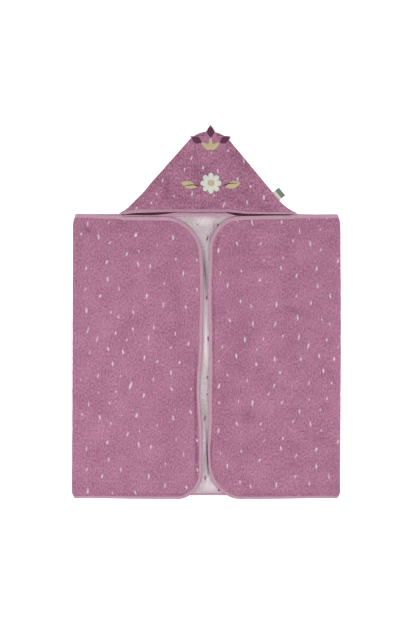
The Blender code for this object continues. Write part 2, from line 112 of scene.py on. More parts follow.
# The towel's body
# One rectangle of jacquard terry with round corners: mauve with pale dashes outside, pale with plum
# dashes inside. Both its sides are folded over the front, and the inside shows between them.
TERRY = 0.0030
TERRY_IN_BINDING = 0.0010
BINDING_WIDTH = 0.0070
PRESSED_RIM = BINDING_WIDTH + 0.0015
FULL_RIM = PRESSED_RIM + 0.0030
CUT_TOP, CUT_BOTTOM = 0.2391, -0.4558
BACK_HALF = 0.3220
FOLD_RADIUS = 0.0050
FOLD_LENGTH = math.pi * FOLD_RADIUS
FLAPS = {
    # side: its sizes, then where its free edge bows out from the middle of the towel, as (height,
    # half length, how far), and where its top edge dips, as (from, to, how far) along the flap
    -1: {
        "length": 0.3117, "top_radius": 0.100, "bottom_radius": 0.065,
        "edge_bows": [(-0.187, 0.130, 0.0065), (0.050, 0.090, -0.0014), (0.150, 0.050, 0.0016)],
        "top_dips": [(0.005, 0.080, 0.0028), (0.100, 0.116, 0.0040), (0.160, 0.220, 0.0002)],
    },
    1: {
        "length": 0.3144, "top_radius": 0.079, "bottom_radius": 0.083,
        "edge_bows": [(0.055, 0.110, -0.0030), (-0.040, 0.150, -0.0020),
                      (-0.225, 0.140, -0.0017), (-0.334, 0.065, -0.0033)],
        "top_dips": [(0.092, 0.120, 0.0025), (0.140, 0.240, 0.0017), (0.228, 0.243, 0.0008)],
    },
}
FLAP_LEVEL, FLAP_DESCENT = 0.0064, 0.055
FLAP_BOTTOM_DIP, FLAP_BOTTOM_DIP_TO = 0.0025, 0.200
BACK_TOP_RISE, BACK_TOP_RISE_HALF, BACK_BOTTOM_RISE = 0.0030, 0.170, 0.0060
TOP_DROPS = {-1: 0.0, 1: 0.0013}
TOP_DROP_FROM, TOP_DROP_TO = 0.200, 0.290
FOLD_SHIFT_FROM = 0.8  # as a share of the back's half
FOLD_TOP_ROUND, FOLD_BOTTOM_ROUND = 0.0240, 0.0130
FOLD_END_INSET, FOLD_END_CURVE = 0.0060, 1.5
LEFT_FOLD_LEAN = 0.0014
RIGHT_FOLD_BULGE, RIGHT_BULGE_MIDDLE, RIGHT_BULGE_HALF = 0.0018, 0.6, 0.6
FOLD_WAVERS = [(0.0004, 0.030), (0.0003, 0.009)]  # how far, and over what length
FLAP_LUMPS = [(0.0004, 0.070), (0.00025, 0.022)]
WORN_PILE = [(0.07, 0.010, 0.0), (0.05, 0.005, 3.0)]  # share lost, over what length, seed
STRIP_HALF = 0.020
STRIP_STEPS, BACK_STEPS, FOLD_STEPS, FLAP_STEPS = 12, 36, 8, 78
CORNER_STEPS, CORNER_STEP_DEGREES = 15, 3.4
RIM_INSETS = [0.0, 0.0030, 0.0055, PRESSED_RIM, 0.0095, FULL_RIM]
ROW_STEPS = 148

FLAP_SWELLS = [
    # x, y, turn in degrees, length, width, height of a ridge (+) or trough (-)
    (0.220, 0.000, -19, 0.100, 0.034, -0.0009),
    (0.266, -0.039, -20, 0.110, 0.034, -0.0009),
    (0.258, -0.259, 27, 0.090, 0.036, -0.0008),
    (0.150, 0.205, -12, 0.080, 0.034, -0.0009),
    (-0.150, 0.180, 4, 0.200, 0.050, -0.0006),
    (-0.295, 0.208, -40, 0.045, 0.016, -0.0012),
    (-0.280, 0.196, -38, 0.060, 0.014, 0.0006),
    (-0.120, -0.300, -60, 0.240, 0.120, 0.0010),
    (0.130, -0.180, 70, 0.260, 0.130, 0.0009),
    (-0.190, 0.040, 80, 0.240, 0.110, 0.0008),
    (0.302, 0.200, 84, 0.090, 0.026, -0.0008),
    (0.095, 0.225, 8, 0.110, 0.030, -0.0007),
    (-0.060, -0.395, 20, 0.110, 0.040, -0.0005),
    (0.200, -0.345, -8, 0.140, 0.044, -0.0005),
    (-0.248, -0.120, 72, 0.150, 0.044, -0.0005),
]
BACK_SWELLS = [
    # the same, for the inside that shows between the flaps
    (0.0125, 0.192, 84, 0.110, 0.016, 0.0011),
    (-0.0090, 0.150, 88, 0.120, 0.012, 0.0009),
    (-0.0020, -0.080, 90, 0.200, 0.012, 0.0005),
    (-0.0050, -0.300, 87, 0.160, 0.013, 0.0008),
    (0.0060, -0.410, 60, 0.060, 0.014, 0.0007),
]

NAP_AND_SHADE_PATCHES = [
    # the same, with how much lighter (+) or darker (-) the colour is made there: partly where the
    # pile lies over, partly painted shade and light, as the shadows beside the flaps' edges, the
    # dark creases and lit stretches of the strip, the dark grooves inside the tapes and a darker
    # top
    (-0.199, 0.205, 0, 0.300, 0.085, -0.05), (-0.292, 0.200, -27, 0.075, 0.016, -0.12),
    (-0.312, 0.159, 90, 0.060, 0.022, -0.06), (-0.155, 0.149, 0, 0.120, 0.040, -0.07),
    (-0.260, -0.045, 60, 0.170, 0.110, 0.05), (-0.260, -0.295, 20, 0.170, 0.120, 0.05),
    (-0.050, 0.029, 90, 0.120, 0.050, 0.05), (-0.175, -0.157, 86, 0.055, 0.012, -0.10),
    (-0.290, -0.412, 0, 0.100, 0.050, -0.03), (0.134, 0.205, -8, 0.130, 0.035, -0.11),
    (0.306, 0.169, 90, 0.080, 0.028, -0.10), (0.058, 0.095, 3, 0.110, 0.030, -0.08),
    (0.136, 0.107, 0, 0.220, 0.050, -0.05), (0.225, 0.000, -22, 0.110, 0.022, -0.13),
    (0.264, -0.045, -18, 0.100, 0.018, -0.12), (0.193, 0.002, 0, 0.150, 0.040, -0.06),
    (0.156, -0.130, 30, 0.070, 0.050, 0.07), (0.080, -0.118, 60, 0.090, 0.050, -0.06),
    (0.212, -0.145, 90, 0.070, 0.035, -0.06), (0.097, -0.258, 100, 0.055, 0.045, -0.10),
    (0.212, -0.334, 80, 0.050, 0.030, -0.06), (0.283, -0.182, 90, 0.120, 0.050, 0.04),
    (0.107, 0.029, 0, 0.120, 0.050, 0.06), (0.279, -0.388, 0, 0.100, 0.050, -0.03),
    (-0.075, -0.060, 90, 0.700, 0.120, -0.05), (0.070, -0.080, 90, 0.700, 0.140, -0.06),
    (0.000, 0.225, 0, 0.560, 0.070, -0.05), (-0.003, 0.100, 94, 0.180, 0.014, -1.00),
    (0.018, 0.210, 88, 0.032, 0.008, -0.50), (-0.003, -0.262, 93, 0.110, 0.011, -0.35),
    (-0.004, 0.222, 0, 0.070, 0.036, 0.42), (0.003, -0.350, 92, 0.160, 0.011, -1.25),
    (0.001, -0.080, 90, 0.160, 0.018, 0.65), (0.011, 0.184, 84, 0.050, 0.011, -0.50),
    (0.004, 0.010, 90, 0.120, 0.016, 0.20), (-0.010, -0.240, 90, 0.080, 0.010, -0.20),
    (0.010, -0.430, 0, 0.060, 0.034, 0.35), (-0.026, -0.245, 90, 0.420, 0.013, -0.34),
    (0.018, -0.050, 90, 0.520, 0.010, -0.16), (-0.023, -0.362, 90, 0.140, 0.013, -0.22),
    (0.012, -0.350, 89, 0.170, 0.010, -0.20), (0.027, 0.166, 78, 0.060, 0.011, -0.30),
    (-0.140, -0.447, 0, 0.300, 0.010, -0.14), (0.170, -0.447, 0, 0.330, 0.010, -0.14),
    (0.062, 0.002, 90, 0.080, 0.060, 0.08), (0.282, -0.366, 0, 0.080, 0.070, -0.06),
    (-0.074, 0.193, 0, 0.070, 0.060, -0.06), (0.062, 0.193, 0, 0.080, 0.060, -0.05),
    (0.171, 0.193, 0, 0.080, 0.060, -0.05), (0.282, 0.002, 0, 0.080, 0.060, 0.05),
    (-0.004, -0.372, 90, 0.090, 0.007, -0.40), (0.005, -0.412, 90, 0.035, 0.012, 0.40),
]

# The dashes: the repeat of the jacquard, charted as it shows on the left flap. A square is 2.45 mm.
# The chart is of the laid towel, and the cloth has crept a little here and there.
SQUARE = 0.00245
REPEAT_DOWN = 180.4
CHART_TOP = 0.2396
CHART_COPIES = [
    # where the chart's left edge lies across the cut, squares down, and the stretch it fills
    (-0.1543, 0, -0.700, -0.147),
    (0.3480, 90, -0.147, -0.035),
    (0.3480, 90, 0.035, 0.152),
    (0.6481, 7, 0.152, 0.700),
]
DASHES = [
    # squares across and down, degrees leant to the right, length and width in squares
    (71, 1, 20, 4.5, 1.6), (41.5, 1.5, 0, 6.5, 1.7), (27.5, 0, 0, 3.5, 1.0),
    (8, 1.5, 0, 3, 1.6), (143.7, 1, 10, 5.2, 1.8), (109.3, 8.5, 0, 2.4, 1.3),
    (88.5, 10, -6, 5.5, 1.4), (82, 20, 25, 3.2, 1.6), (99.5, 23, -14, 5.2, 1.8),
    (121, 21, 0, 1.5, 1.0), (136, 21, 15, 4.8, 2.6), (173, 23.5, -4, 5.2, 2.2),
    (190.6, 17.7, -25, 4, 2.0), (26, 22.5, -20, 4.5, 1.7), (49.7, 22.5, 15, 3.2, 1.6),
    (7.4, 29.5, 0, 5.5, 1.9), (110.3, 29, 0, 2.8, 1.7), (157, 31, 0, 2.6, 1.2),
    (53, 39.5, 10, 3, 0.9), (72, 37, 10, 3.2, 1.7), (139, 37, 0, 2.6, 1.1),
    (127, 40, 22, 4.5, 1.6), (176, 45, 5, 3.4, 1.5), (197, 46, 0, 3.2, 1.6),
    (107, 48, 18, 4.4, 1.9), (70, 47, -8, 4.5, 1.6), (30.4, 50, 0, 3, 1.8),
    (9.4, 52, 8, 4, 1.1), (138.5, 50, -12, 5.8, 1.9), (150.7, 52.5, 5, 4.6, 1.6),
    (86.3, 54.5, 15, 4.6, 1.6), (49, 59, 20, 3.4, 2.0), (183.5, 59.5, 0, 5, 1.5),
    (16.6, 64.5, 3, 5.5, 1.5), (108.2, 65, 0, 5, 1.9), (164.8, 69.5, 10, 2.8, 1.4),
    (86, 75, 30, 3.4, 1.4), (119.8, 75, -2, 5, 1.6), (197, 75.5, -10, 3.8, 1.5),
    (29.5, 80.5, 0, 3.5, 1.8), (100.8, 82, 12, 4, 1.8), (147.4, 82, 3, 5.8, 1.9),
    (40, 85, -18, 4.5, 1.6), (65.5, 83.5, 4, 6, 1.7), (163.6, 91, 0, 5, 2.0),
    (185.8, 93, -15, 3.8, 2.0), (18.7, 99.5, -12, 4, 2.0), (86.7, 96.5, 4, 5.8, 2.1),
    (111, 98.5, 0, 2.6, 1.6), (133.5, 98, -15, 4.2, 1.7), (41.9, 103, 0, 5.5, 2.0),
    (64.3, 103, 25, 4.5, 1.6), (118.6, 103, -18, 3.4, 1.8), (72, 115, 10, 3, 1.4),
    (33.8, 118.5, 0, 6, 2.0), (52.6, 118, 0, 4, 1.1), (153.8, 113.5, 0, 5, 1.5),
    (133, 115, -12, 4, 1.7), (87.9, 116, 15, 7, 1.6), (115.7, 119, 0, 4, 1.5),
    (175.5, 119.5, 3, 4.4, 1.1), (148.6, 124, 0, 4.8, 1.6), (97.2, 125, 18, 7, 1.7),
    (126.8, 126, 0, 2.4, 1.5), (11.4, 126, 8, 4, 1.4), (46, 128.5, 0, 3, 1.4),
    (188.4, 129.5, 12, 4.8, 2.0), (170.9, 133.5, 45, 3.8, 1.2), (25.3, 135, -10, 5.5, 2.0),
    (108.2, 135, -12, 4.2, 1.9), (89.8, 138, 0, 4.6, 1.5), (123, 138, -8, 4.6, 2.1),
    (63.6, 138, 0, 6, 1.6), (7.8, 140, 25, 3, 1.1), (45.3, 143.5, 0, 3.6, 2.2),
    (144.2, 143.5, 0, 5.5, 1.8), (157.3, 147.5, 25, 3.2, 1.8), (179.5, 148.5, 0, 3.2, 1.9),
    (69, 151.5, -5, 4, 1.8), (112.5, 150, 0, 4.8, 2.0), (16.5, 154, -20, 3.4, 1.9),
    (170.9, 158.5, 5, 5.6, 2.0), (36.4, 159.5, 0, 3, 1.6), (98, 162, 12, 5, 1.6),
    (120.6, 162, 15, 3, 1.7), (8.1, 165, 14, 5.5, 1.8), (63, 165, 18, 4.2, 1.7),
    (80.8, 165.5, 12, 3, 1.1), (153.3, 165.5, 0, 4.8, 1.8), (130.5, 171.5, 20, 8, 2.4),
    (57.5, 173, 35, 4, 1.2), (171.6, 175, -28, 5, 1.7), (191, 175, 0, 2.8, 1.5),
    (115.8, 177.5, 0, 2.8, 1.6), (98.3, 178.5, 0, 2.2, 1.2),
]
CREEPS = [
    # x and y of the middle, half width, half height, squares moved to the right
    (-0.260, 0.200, 0.140, 0.070, -1.0), (-0.190, 0.060, 0.200, 0.110, -0.8),
    (-0.190, -0.270, 0.200, 0.100, 0.6), (-0.190, -0.430, 0.260, 0.110, 1.7),
    (0.265, 0.080, 0.080, 0.120, -1.6), (0.265, -0.390, 0.095, 0.110, -3.0),
    (0.110, -0.400, 0.120, 0.080, -0.6), (0.000, -0.405, 0.018, 0.060, -1.8),
    (0.000, -0.275, 0.018, 0.060, -3.2),
]
STRIP_DASHES = [
    # the same, across from the towel's middle, for the stretch that shows between the flaps
    (-8.8, 10.5, 0, 2, 1.0), (11.5, 10.8, 20, 4, 1.6), (1.2, 24, 15, 6, 2.2),
    (0.4, 83.6, 5, 4.5, 1.8), (1.9, 125, -5, 6, 1.8), (1.1, 163.4, 10, 3.4, 1.5),
    (0.8, 180.4, 0, 2.6, 1.4), (12.5, 95.5, 10, 4.5, 2.0),
]


def smooth(value, low, high):
    """0 below low and 1 above high, with an S-curve between them."""
    t = min(max((value - low) / (high - low), 0.0), 1.0)
    return t * t * (3 - 2 * t)


def bump(value, middle, half):
    """1 in the middle, falling softly to 0 at half on either side."""
    t = min(abs(value - middle) / half, 1.0)
    return math.cos(t * math.pi / 2) ** 2


def swell(x, y, swells):
    """The height that the soft ridges and troughs add at a place."""
    total = 0.0
    for middle_x, middle_y, turn, length, width, height in swells:
        cosine, sine = math.cos(math.radians(turn)), math.sin(math.radians(turn))
        right, up = x - middle_x, y - middle_y
        along = right * cosine + up * sine
        beside = up * cosine - right * sine
        total += height * bump(along, 0, length / 2) * bump(beside, 0, width / 2)
    return total


def uneven(x, y, size, seed=0.0):
    """Smooth noise from -1 to 1, with lumps about this size."""
    return noise.noise(Vector((x / size, y / size, seed)))


def lumps(x, y, sizes):
    """Smooth noise of several sizes at once."""
    return sum(far * uneven(x, y, size) for far, size in sizes)


def shares(steps):
    """From 0 to 1 in even steps."""
    return [step / steps for step in range(steps + 1)]


def side_of(s):
    return -1 if s < 0 else 1


def cut_reach(side):
    return BACK_HALF + FOLD_LENGTH + FLAPS[side]["length"]


def corner_loss(s, corner):
    """How much shorter the cut is at s, at its top or bottom, because of the round corner."""
    radius = FLAPS[side_of(s)][corner]
    from_edge = cut_reach(side_of(s)) - abs(s)
    if from_edge >= radius:
        return 0.0
    return radius - math.sqrt(radius**2 - (radius - from_edge) ** 2)


def cut_point(s, row):
    """A row is a share of the cut's height at s and an inset to add to it."""
    share, inset = row
    top = CUT_TOP - corner_loss(s, "top_radius")
    bottom = CUT_BOTTOM + corner_loss(s, "bottom_radius")
    return s, bottom + share * (top - bottom) + inset


def cut_depth(s, v):
    """How far a point of the flat cut is in from the nearest edge, round corners included."""
    side = side_of(s)
    from_side = cut_reach(side) - abs(s)
    depth = min(from_side, CUT_TOP - v, v - CUT_BOTTOM)
    for corner, from_end in (("top_radius", CUT_TOP - v), ("bottom_radius", v - CUT_BOTTOM)):
        radius = FLAPS[side][corner]
        if from_side < radius and from_end < radius:
            depth = min(depth, radius - math.hypot(radius - from_side, radius - from_end))
    return depth


def fold_shift(side, v):
    """How far the fold lies outside its mean line at this height."""
    height = (v - CUT_BOTTOM) / (CUT_TOP - CUT_BOTTOM)
    from_end = min((CUT_TOP - v) / FOLD_TOP_ROUND, (v - CUT_BOTTOM) / FOLD_BOTTOM_ROUND)
    inset = FOLD_END_INSET * max(0.0, 1 - from_end) ** FOLD_END_CURVE
    inset -= lumps(side, v, FOLD_WAVERS)
    if side < 0:
        return LEFT_FOLD_LEAN * (1 - 2 * height) - inset
    return RIGHT_FOLD_BULGE * bump(height, RIGHT_BULGE_MIDDLE, RIGHT_BULGE_HALF) - inset


def back_top_rise(x):
    """How far the hood draws the back's top edge up."""
    return BACK_TOP_RISE * bump(x, 0, BACK_TOP_RISE_HALF)


def flap_drop(side, along, v):
    """How far a place on a flap lies below where its fold would put it."""
    height = (v - CUT_BOTTOM) / (CUT_TOP - CUT_BOTTOM)
    dip = sum(far * smooth(along, low, high) for low, high, far in FLAPS[side]["top_dips"])
    return height * dip + (1 - height) * FLAP_BOTTOM_DIP * smooth(along, 0, FLAP_BOTTOM_DIP_TO)


def folded(s, v):
    """Where the middle of the wall lies, for a point s across and v along the flat cut."""
    side, across = side_of(s), abs(s)
    height = (v - CUT_BOTTOM) / (CUT_TOP - CUT_BOTTOM)
    shift = fold_shift(side, v)
    back_level = TERRY / 2
    v -= height * TOP_DROPS[side] * smooth(across, TOP_DROP_FROM, TOP_DROP_TO)
    if across <= BACK_HALF:
        y = v + height * back_top_rise(s)
        y += (1 - height) * BACK_BOTTOM_RISE * (1 - (across / BACK_HALF) ** 2)
        x = across + shift * smooth(across, FOLD_SHIFT_FROM * BACK_HALF, BACK_HALF)
        return Vector((side * x, y, back_level + swell(s, y, BACK_SWELLS)))
    if across <= BACK_HALF + FOLD_LENGTH:
        turn = (across - BACK_HALF) / FOLD_RADIUS
        x = BACK_HALF + shift + FOLD_RADIUS * math.sin(turn)
        return Vector((side * x, v, back_level + FOLD_RADIUS * (1 - math.cos(turn))))
    flap = FLAPS[side]
    along = across - BACK_HALF - FOLD_LENGTH
    bow = sum(far * bump(v, middle, half) for middle, half, far in flap["edge_bows"])
    x = BACK_HALF + shift - along + bow * (along / flap["length"]) ** 2
    y = v - flap_drop(side, along, v)
    descent = smooth(along, 0, FLAP_DESCENT)
    fold_top = back_level + 2 * FOLD_RADIUS
    level = FLAP_LEVEL - fold_top + swell(side * x, y, FLAP_SWELLS) + lumps(s, v, FLAP_LUMPS)
    return Vector((side * x, y, fold_top + level * descent))


def ruled_grid(columns, rows):
    """A grid, and a dict of the column and row that each of its points stands for."""
    grid = bmesh.new()
    bmesh.ops.create_grid(grid, x_segments=len(columns) - 1, y_segments=len(rows) - 1, size=1)
    places = {}
    for vert in grid.verts:
        column = columns[round((vert.co.x + 1) / 2 * (len(columns) - 1))]
        row = rows[round((vert.co.y + 1) / 2 * (len(rows) - 1))]
        places[vert] = (column, row)
    return grid, places


def give_wall(sheet, thickness):
    """A wall about the middle of a sheet of faces."""
    wall = sheet.modifiers.new("Wall", "SOLIDIFY")
    wall.thickness = thickness
    wall.offset = 0
    return wall


def in_towel(made):
    """Part of the towel's one body."""
    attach(made, "root")
    return made


class Dashes:
    """The dashes on one cut piece of terry, each a place, a direction and half its two sizes."""

    def __init__(self, dashes):
        self.dashes = dashes
        self.tree = kdtree.KDTree(len(dashes))
        for index, dash in enumerate(dashes):
            self.tree.insert((*dash[0], 0), index)
        self.tree.balance()

    def seen_from(self, face_middle, point):
        """A point in half widths and half lengths of the dash nearest to its face."""
        middle, direction, half_length, half_width = self.dashes[self.tree.find(face_middle)[1]]
        offset = point - middle
        return offset.cross(direction) / half_width, offset.dot(direction) / half_length


def terry_panel(name, columns, rows, flat, lay, fullness, dashes, patches, finishes):
    """A panel of terry: a grid set out as its flat cut and charted, then laid in its place.

    flat(column, row) is a point of the cut and lay(x, y) is where it lies. fullness(x, y) is the
    wall there as a share of the terry's thickness. patches say where the pile lies over and where
    shade and light are painted on. finishes are the upper face's and the lower's.
    """
    grid, places = ruled_grid(columns, rows)
    for vert, place in places.items():
        vert.co = (*flat(*place), 0)
    weights = grid.verts.layers.deform.verify()
    # The third map carries the patches: the pile's lie and painted shade and light.
    cut, dash, nap_and_shade = [grid.loops.layers.uv.new(word) for word in ("Cut", "Dash", "Nap")]
    laid = {vert: lay(*vert.co.xy) for vert in grid.verts}
    shades = {vert: swell(*place.xy, patches) for vert, place in laid.items()}
    for face in grid.faces:
        middle = face.calc_center_median()
        for loop in face.loops:
            point = loop.vert.co.xy
            loop[cut].uv = point
            loop[dash].uv = dashes.seen_from(middle, point)
            loop[nap_and_shade].uv = (shades[loop.vert], 0)
    thinnest = TERRY_IN_BINDING / TERRY
    for vert in grid.verts:
        x, y = vert.co.xy
        pile = 1 - sum(lost * (1 + uneven(x, y, size, seed)) for lost, size, seed in WORN_PILE)
        vert[weights][0] = (fullness(x, y) * pile - thinnest) / (1 - thinnest)
        vert.co = laid[vert]
    panel = as_object(name, grid, finishes)
    panel.vertex_groups.new(name="Fullness")
    wall = give_wall(panel, TERRY)
    wall.use_even_offset = True
    wall.vertex_group = "Fullness"
    wall.thickness_vertex_group = thinnest
    wall.material_offset = 1
    wall.material_offset_rim = 1
    return in_towel(panel)


def bound_fullness(depth):
    """The terry's share of its thickness, at a depth in from an edge that a binding wraps."""
    thinnest = TERRY_IN_BINDING / TERRY
    return thinnest + (1 - thinnest) * smooth(depth, PRESSED_RIM, FULL_RIM)


def charted(across, down, lean, length, width, left, mirrored):
    """A dash of the chart, from where the chart's left edge lies across a cut piece."""
    way = -1 if mirrored else 1
    place = Vector((left + way * across * SQUARE, CHART_TOP - down * SQUARE))
    direction = Vector((way * math.sin(math.radians(lean)), math.cos(math.radians(lean))))
    return place, direction, length * SQUARE / 2, width * SQUARE / 2


def crept(shown):
    """How far the cloth has crept to the right at a place of the laid towel."""
    return SQUARE * sum(far * bump(shown.x, x, half_width) * bump(shown.y, y, half_height)
                        for x, y, half_width, half_height, far in CREEPS)


def settle(place):
    """Move a place of the flat cut so that it lies where the chart shows it."""
    laid = folded(*place)
    shown = place.copy()
    if abs(place.x) > BACK_HALF + FOLD_LENGTH / 2:
        shown.x = side_of(place.x) * (2 * BACK_HALF + FOLD_LENGTH) - place.x
        place.x += laid.x - shown.x - crept(shown)
    else:
        place.x += shown.x - laid.x + crept(shown)
    place.y += shown.y - laid.y


def body_dashes():
    found = []
    for repeat in (-1, 0, 1):
        for left, drop, low, high in CHART_COPIES:
            for across, down, *form in DASHES:
                dash = charted(across, down + drop + repeat * REPEAT_DOWN, *form, left, True)
                if low < dash[0].x < high:
                    settle(dash[0])
                    found.append(dash)
        for across, down, *form in STRIP_DASHES:
            dash = charted(across, down + repeat * REPEAT_DOWN, *form, 0, False)
            settle(dash[0])
            found.append(dash)
    return Dashes(found)


def stretch(start, length, steps):
    """Even steps past the start, up to its other end."""
    return [start + length * step / steps for step in range(1, steps + 1)]


def body_columns():
    """Places across the cut: closest together at its ends, widest where the flaps hide it."""
    columns = [0.0]
    for side in (-1, 1):
        reach, fold_end = cut_reach(side), BACK_HALF + FOLD_LENGTH
        radius = max(FLAPS[side]["top_radius"], FLAPS[side]["bottom_radius"])
        turns = [math.radians(CORNER_STEP_DEGREES * step) for step in range(CORNER_STEPS)]
        ends = [reach - radius * (1 - math.cos(turn)) for turn in turns]
        strip = stretch(0, STRIP_HALF, STRIP_STEPS)
        back = stretch(STRIP_HALF, BACK_HALF - STRIP_HALF, BACK_STEPS)
        fold = stretch(BACK_HALF, FOLD_LENGTH, FOLD_STEPS)
        flap = stretch(fold_end, ends[-1] - fold_end, FLAP_STEPS)[:-1]
        columns += [side * place for place in strip + back + fold + flap + ends]
    return sorted(columns)


def body_rows():
    rows = [(0, inset) for inset in RIM_INSETS]
    rows += [(share, FULL_RIM * (1 - 2 * share)) for share in shares(ROW_STEPS)[1:-1]]
    return rows + [(1, -inset) for inset in reversed(RIM_INSETS)]


class Wire:
    """What comes out of a material's node. Sums and products of wires add Math nodes."""

    def __init__(self, finish, socket):
        self.finish, self.socket = finish, socket

    def math(self, operation, first, second=0.0):
        return self.finish.node("Math", {"operation": operation}, {0: first, 1: second})

    def __add__(self, other):
        return self.math("ADD", self, other)

    def __radd__(self, other):
        return self.math("ADD", other, self)

    def __sub__(self, other):
        return self.math("SUBTRACT", self, other)

    def __rsub__(self, other):
        return self.math("SUBTRACT", other, self)

    def __mul__(self, other):
        return self.math("MULTIPLY", self, other)

    def __rmul__(self, other):
        return self.math("MULTIPLY", other, self)

    def wave(self, length):
        """A sine from -1 to 1 that repeats over this length."""
        return self.math("SINE", self * (2 * math.pi / length))

    def between(self, low, high):
        """0 at low and 1 at high, with an S-curve between them."""
        stops = {"Value": self, "From Min": low, "From Max": high}
        return self.finish.node("MapRange", {"interpolation_type": "SMOOTHSTEP"}, stops)


class Finish:
    """The material of one kind of cloth or thread."""

    def __init__(self, name, **constants):
        self.material = bpy.data.materials.new(name)
        self.material.use_nodes = True
        self.tree = self.material.node_tree
        self.shader = self.tree.nodes["Principled BSDF"]
        for socket, value in constants.items():
            self.feed(self.shader.inputs[socket.replace("_", " ").title()], value)

    def feed(self, socket, value):
        if isinstance(value, Wire):
            self.tree.links.new(value.socket, socket)
        elif hasattr(value, "__len__") and len(value) < len(socket.default_value):
            socket.default_value = (*value, 1)
        else:
            socket.default_value = value

    def node(self, kind, settings, sockets, output=0):
        """Any node: its settings first, then what goes into its sockets."""
        made = self.tree.nodes.new("ShaderNode" + kind)
        for name, value in settings.items():
            setattr(made, name, value)
        for name, value in sockets.items():
            self.feed(made.inputs[name], value)
        return Wire(self, made.outputs[output])

    def uv(self, name):
        return self.node("UVMap", {"uv_map": name}, {})

    def parts(self, vector):
        """The x and y of a vector."""
        return [self.node("SeparateXYZ", {}, {"Vector": vector}, output) for output in (0, 1)]

    def place(self):
        return self.node("TexCoord", {}, {}, "Object")

    def noise(self, vector, size, detail=1.0, roughness=0.5):
        """Noise about 0.5, with lumps of this size in metres."""
        sockets = {"Vector": vector, "Scale": 1 / size, "Detail": detail, "Roughness": roughness}
        return self.node("TexNoise", {"noise_dimensions": "3D"}, sockets)

    def cells(self, vector, size):
        """Distance from the middle of round cells of this size in metres."""
        sockets = {"Vector": vector, "Scale": 1 / size, "Randomness": 0.8}
        return self.node("TexVoronoi", {"voronoi_dimensions": "2D"}, sockets)

    def mix(self, share, first, second):
        """The first colour at 0 and the second at 1."""
        return self.node("Mix", {"data_type": "RGBA"}, {0: share, 6: first, 7: second}, 2)

    def length(self, first, second):
        """The length of a flat vector."""
        flat = self.node("CombineXYZ", {}, {"X": first, "Y": second})
        return self.node("VectorMath", {"operation": "LENGTH"}, {"Vector": flat}, "Value")

    def dress(self, colour, height, depth, strength):
        """Colour, and relief of this depth in metres, on the shader."""
        relief = {"Height": height, "Distance": depth, "Strength": strength}
        self.feed(self.shader.inputs["Base Color"], colour)
        self.feed(self.shader.inputs["Normal"], self.node("Bump", {}, relief))
        return self.material


def dyed(red, green, blue):
    """A colour given as it looks on a screen, 0 to 255."""
    return tuple((value / 255) ** 2.2 for value in (red, green, blue))


LOOP_SIZE, LOOP_RELIEF = 0.0021, 0.0016
CLUMP_SIZE, CLUMPS_DRAWN_OUT = 0.0038, (1, 0.62, 1)
CRUSHED_SIZE = 0.060
DASH_RAGGED_SIZE, DASH_WORN_SIZE = 0.0022, 0.016


def terry(name, low, high, shadow_colour, dash, ruffled=1.0):
    """Looped pile: low in its gaps and high on its loops, with dashes woven in, and a painted
    shadow colour where the patches darken it most.
    """
    finish = Finish(name, roughness=0.95, sheen_weight=0.30, sheen_roughness=0.45,
                    sheen_tint=high)
    cut = finish.uv("Cut")
    drawn = finish.node("VectorMath", {"operation": "MULTIPLY"}, {0: cut, 1: CLUMPS_DRAWN_OUT})
    loops = 1 - finish.cells(cut, LOOP_SIZE)
    clumps = finish.noise(drawn, CLUMP_SIZE, 2.0, 0.65)
    crush = finish.noise(cut, CRUSHED_SIZE, 4.0, 0.6)
    nap_and_shade, _ = finish.parts(finish.uv("Nap"))
    pile = loops * 0.60 + (clumps - 0.5) * (1.05 * ruffled) + (crush - 0.5) * (0.45 * ruffled**2)
    # The patches add painted shade and light to the pile's tone here, as well as the pile's lie.
    shade = pile + nap_and_shade + 0.135
    colour = finish.mix(shade.between(0.0, 1.0), low, high)
    # Where the patches darken most, the colour goes over to a painted shadow colour, for the shade
    # in creases and in the gaps beside the flaps.
    colour = finish.mix(nap_and_shade.between(-0.45, -1.30), colour, shadow_colour)
    beside, along = finish.parts(finish.uv("Dash"))
    ragged = finish.noise(cut, DASH_RAGGED_SIZE, 1.0) - 0.5
    worn = finish.noise(cut, DASH_WORN_SIZE, 1.0)
    reach = finish.length(beside, along) + ragged * 1.1
    share = reach.between(1.30, 0.55) * worn.between(-0.10, 0.65)
    colour = finish.mix(share, colour, dash)
    return finish.dress(colour, loops * 0.6 + clumps * 1.4, LOOP_RELIEF, 0.9)


MAUVE_LOW, MAUVE_HIGH = dyed(142, 82, 112), dyed(216, 154, 184)
PALE_LOW, PALE_HIGH = dyed(174, 156, 163), dyed(242, 226, 232)
# Painted shadow colours, for the darkest creases and gaps.
MAUVE_PAINTED_SHADOW, PALE_PAINTED_SHADOW = dyed(92, 48, 70), dyed(96, 80, 86)
MAUVE_DASH, PALE_DASH = dyed(234, 212, 228), dyed(128, 74, 104)
terry_outside = terry("terry_outside", MAUVE_LOW, MAUVE_HIGH, MAUVE_PAINTED_SHADOW, MAUVE_DASH)
terry_inside = terry("terry_inside", PALE_LOW, PALE_HIGH, PALE_PAINTED_SHADOW, PALE_DASH, 0.7)


def body_fullness(s, v):
    return bound_fullness(cut_depth(s, v))


body = terry_panel("towel_cloth", body_columns(), body_rows(), cut_point, folded, body_fullness,
                   body_dashes(), NAP_AND_SHADE_PATCHES, [terry_inside, terry_outside])
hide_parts("towel_body")


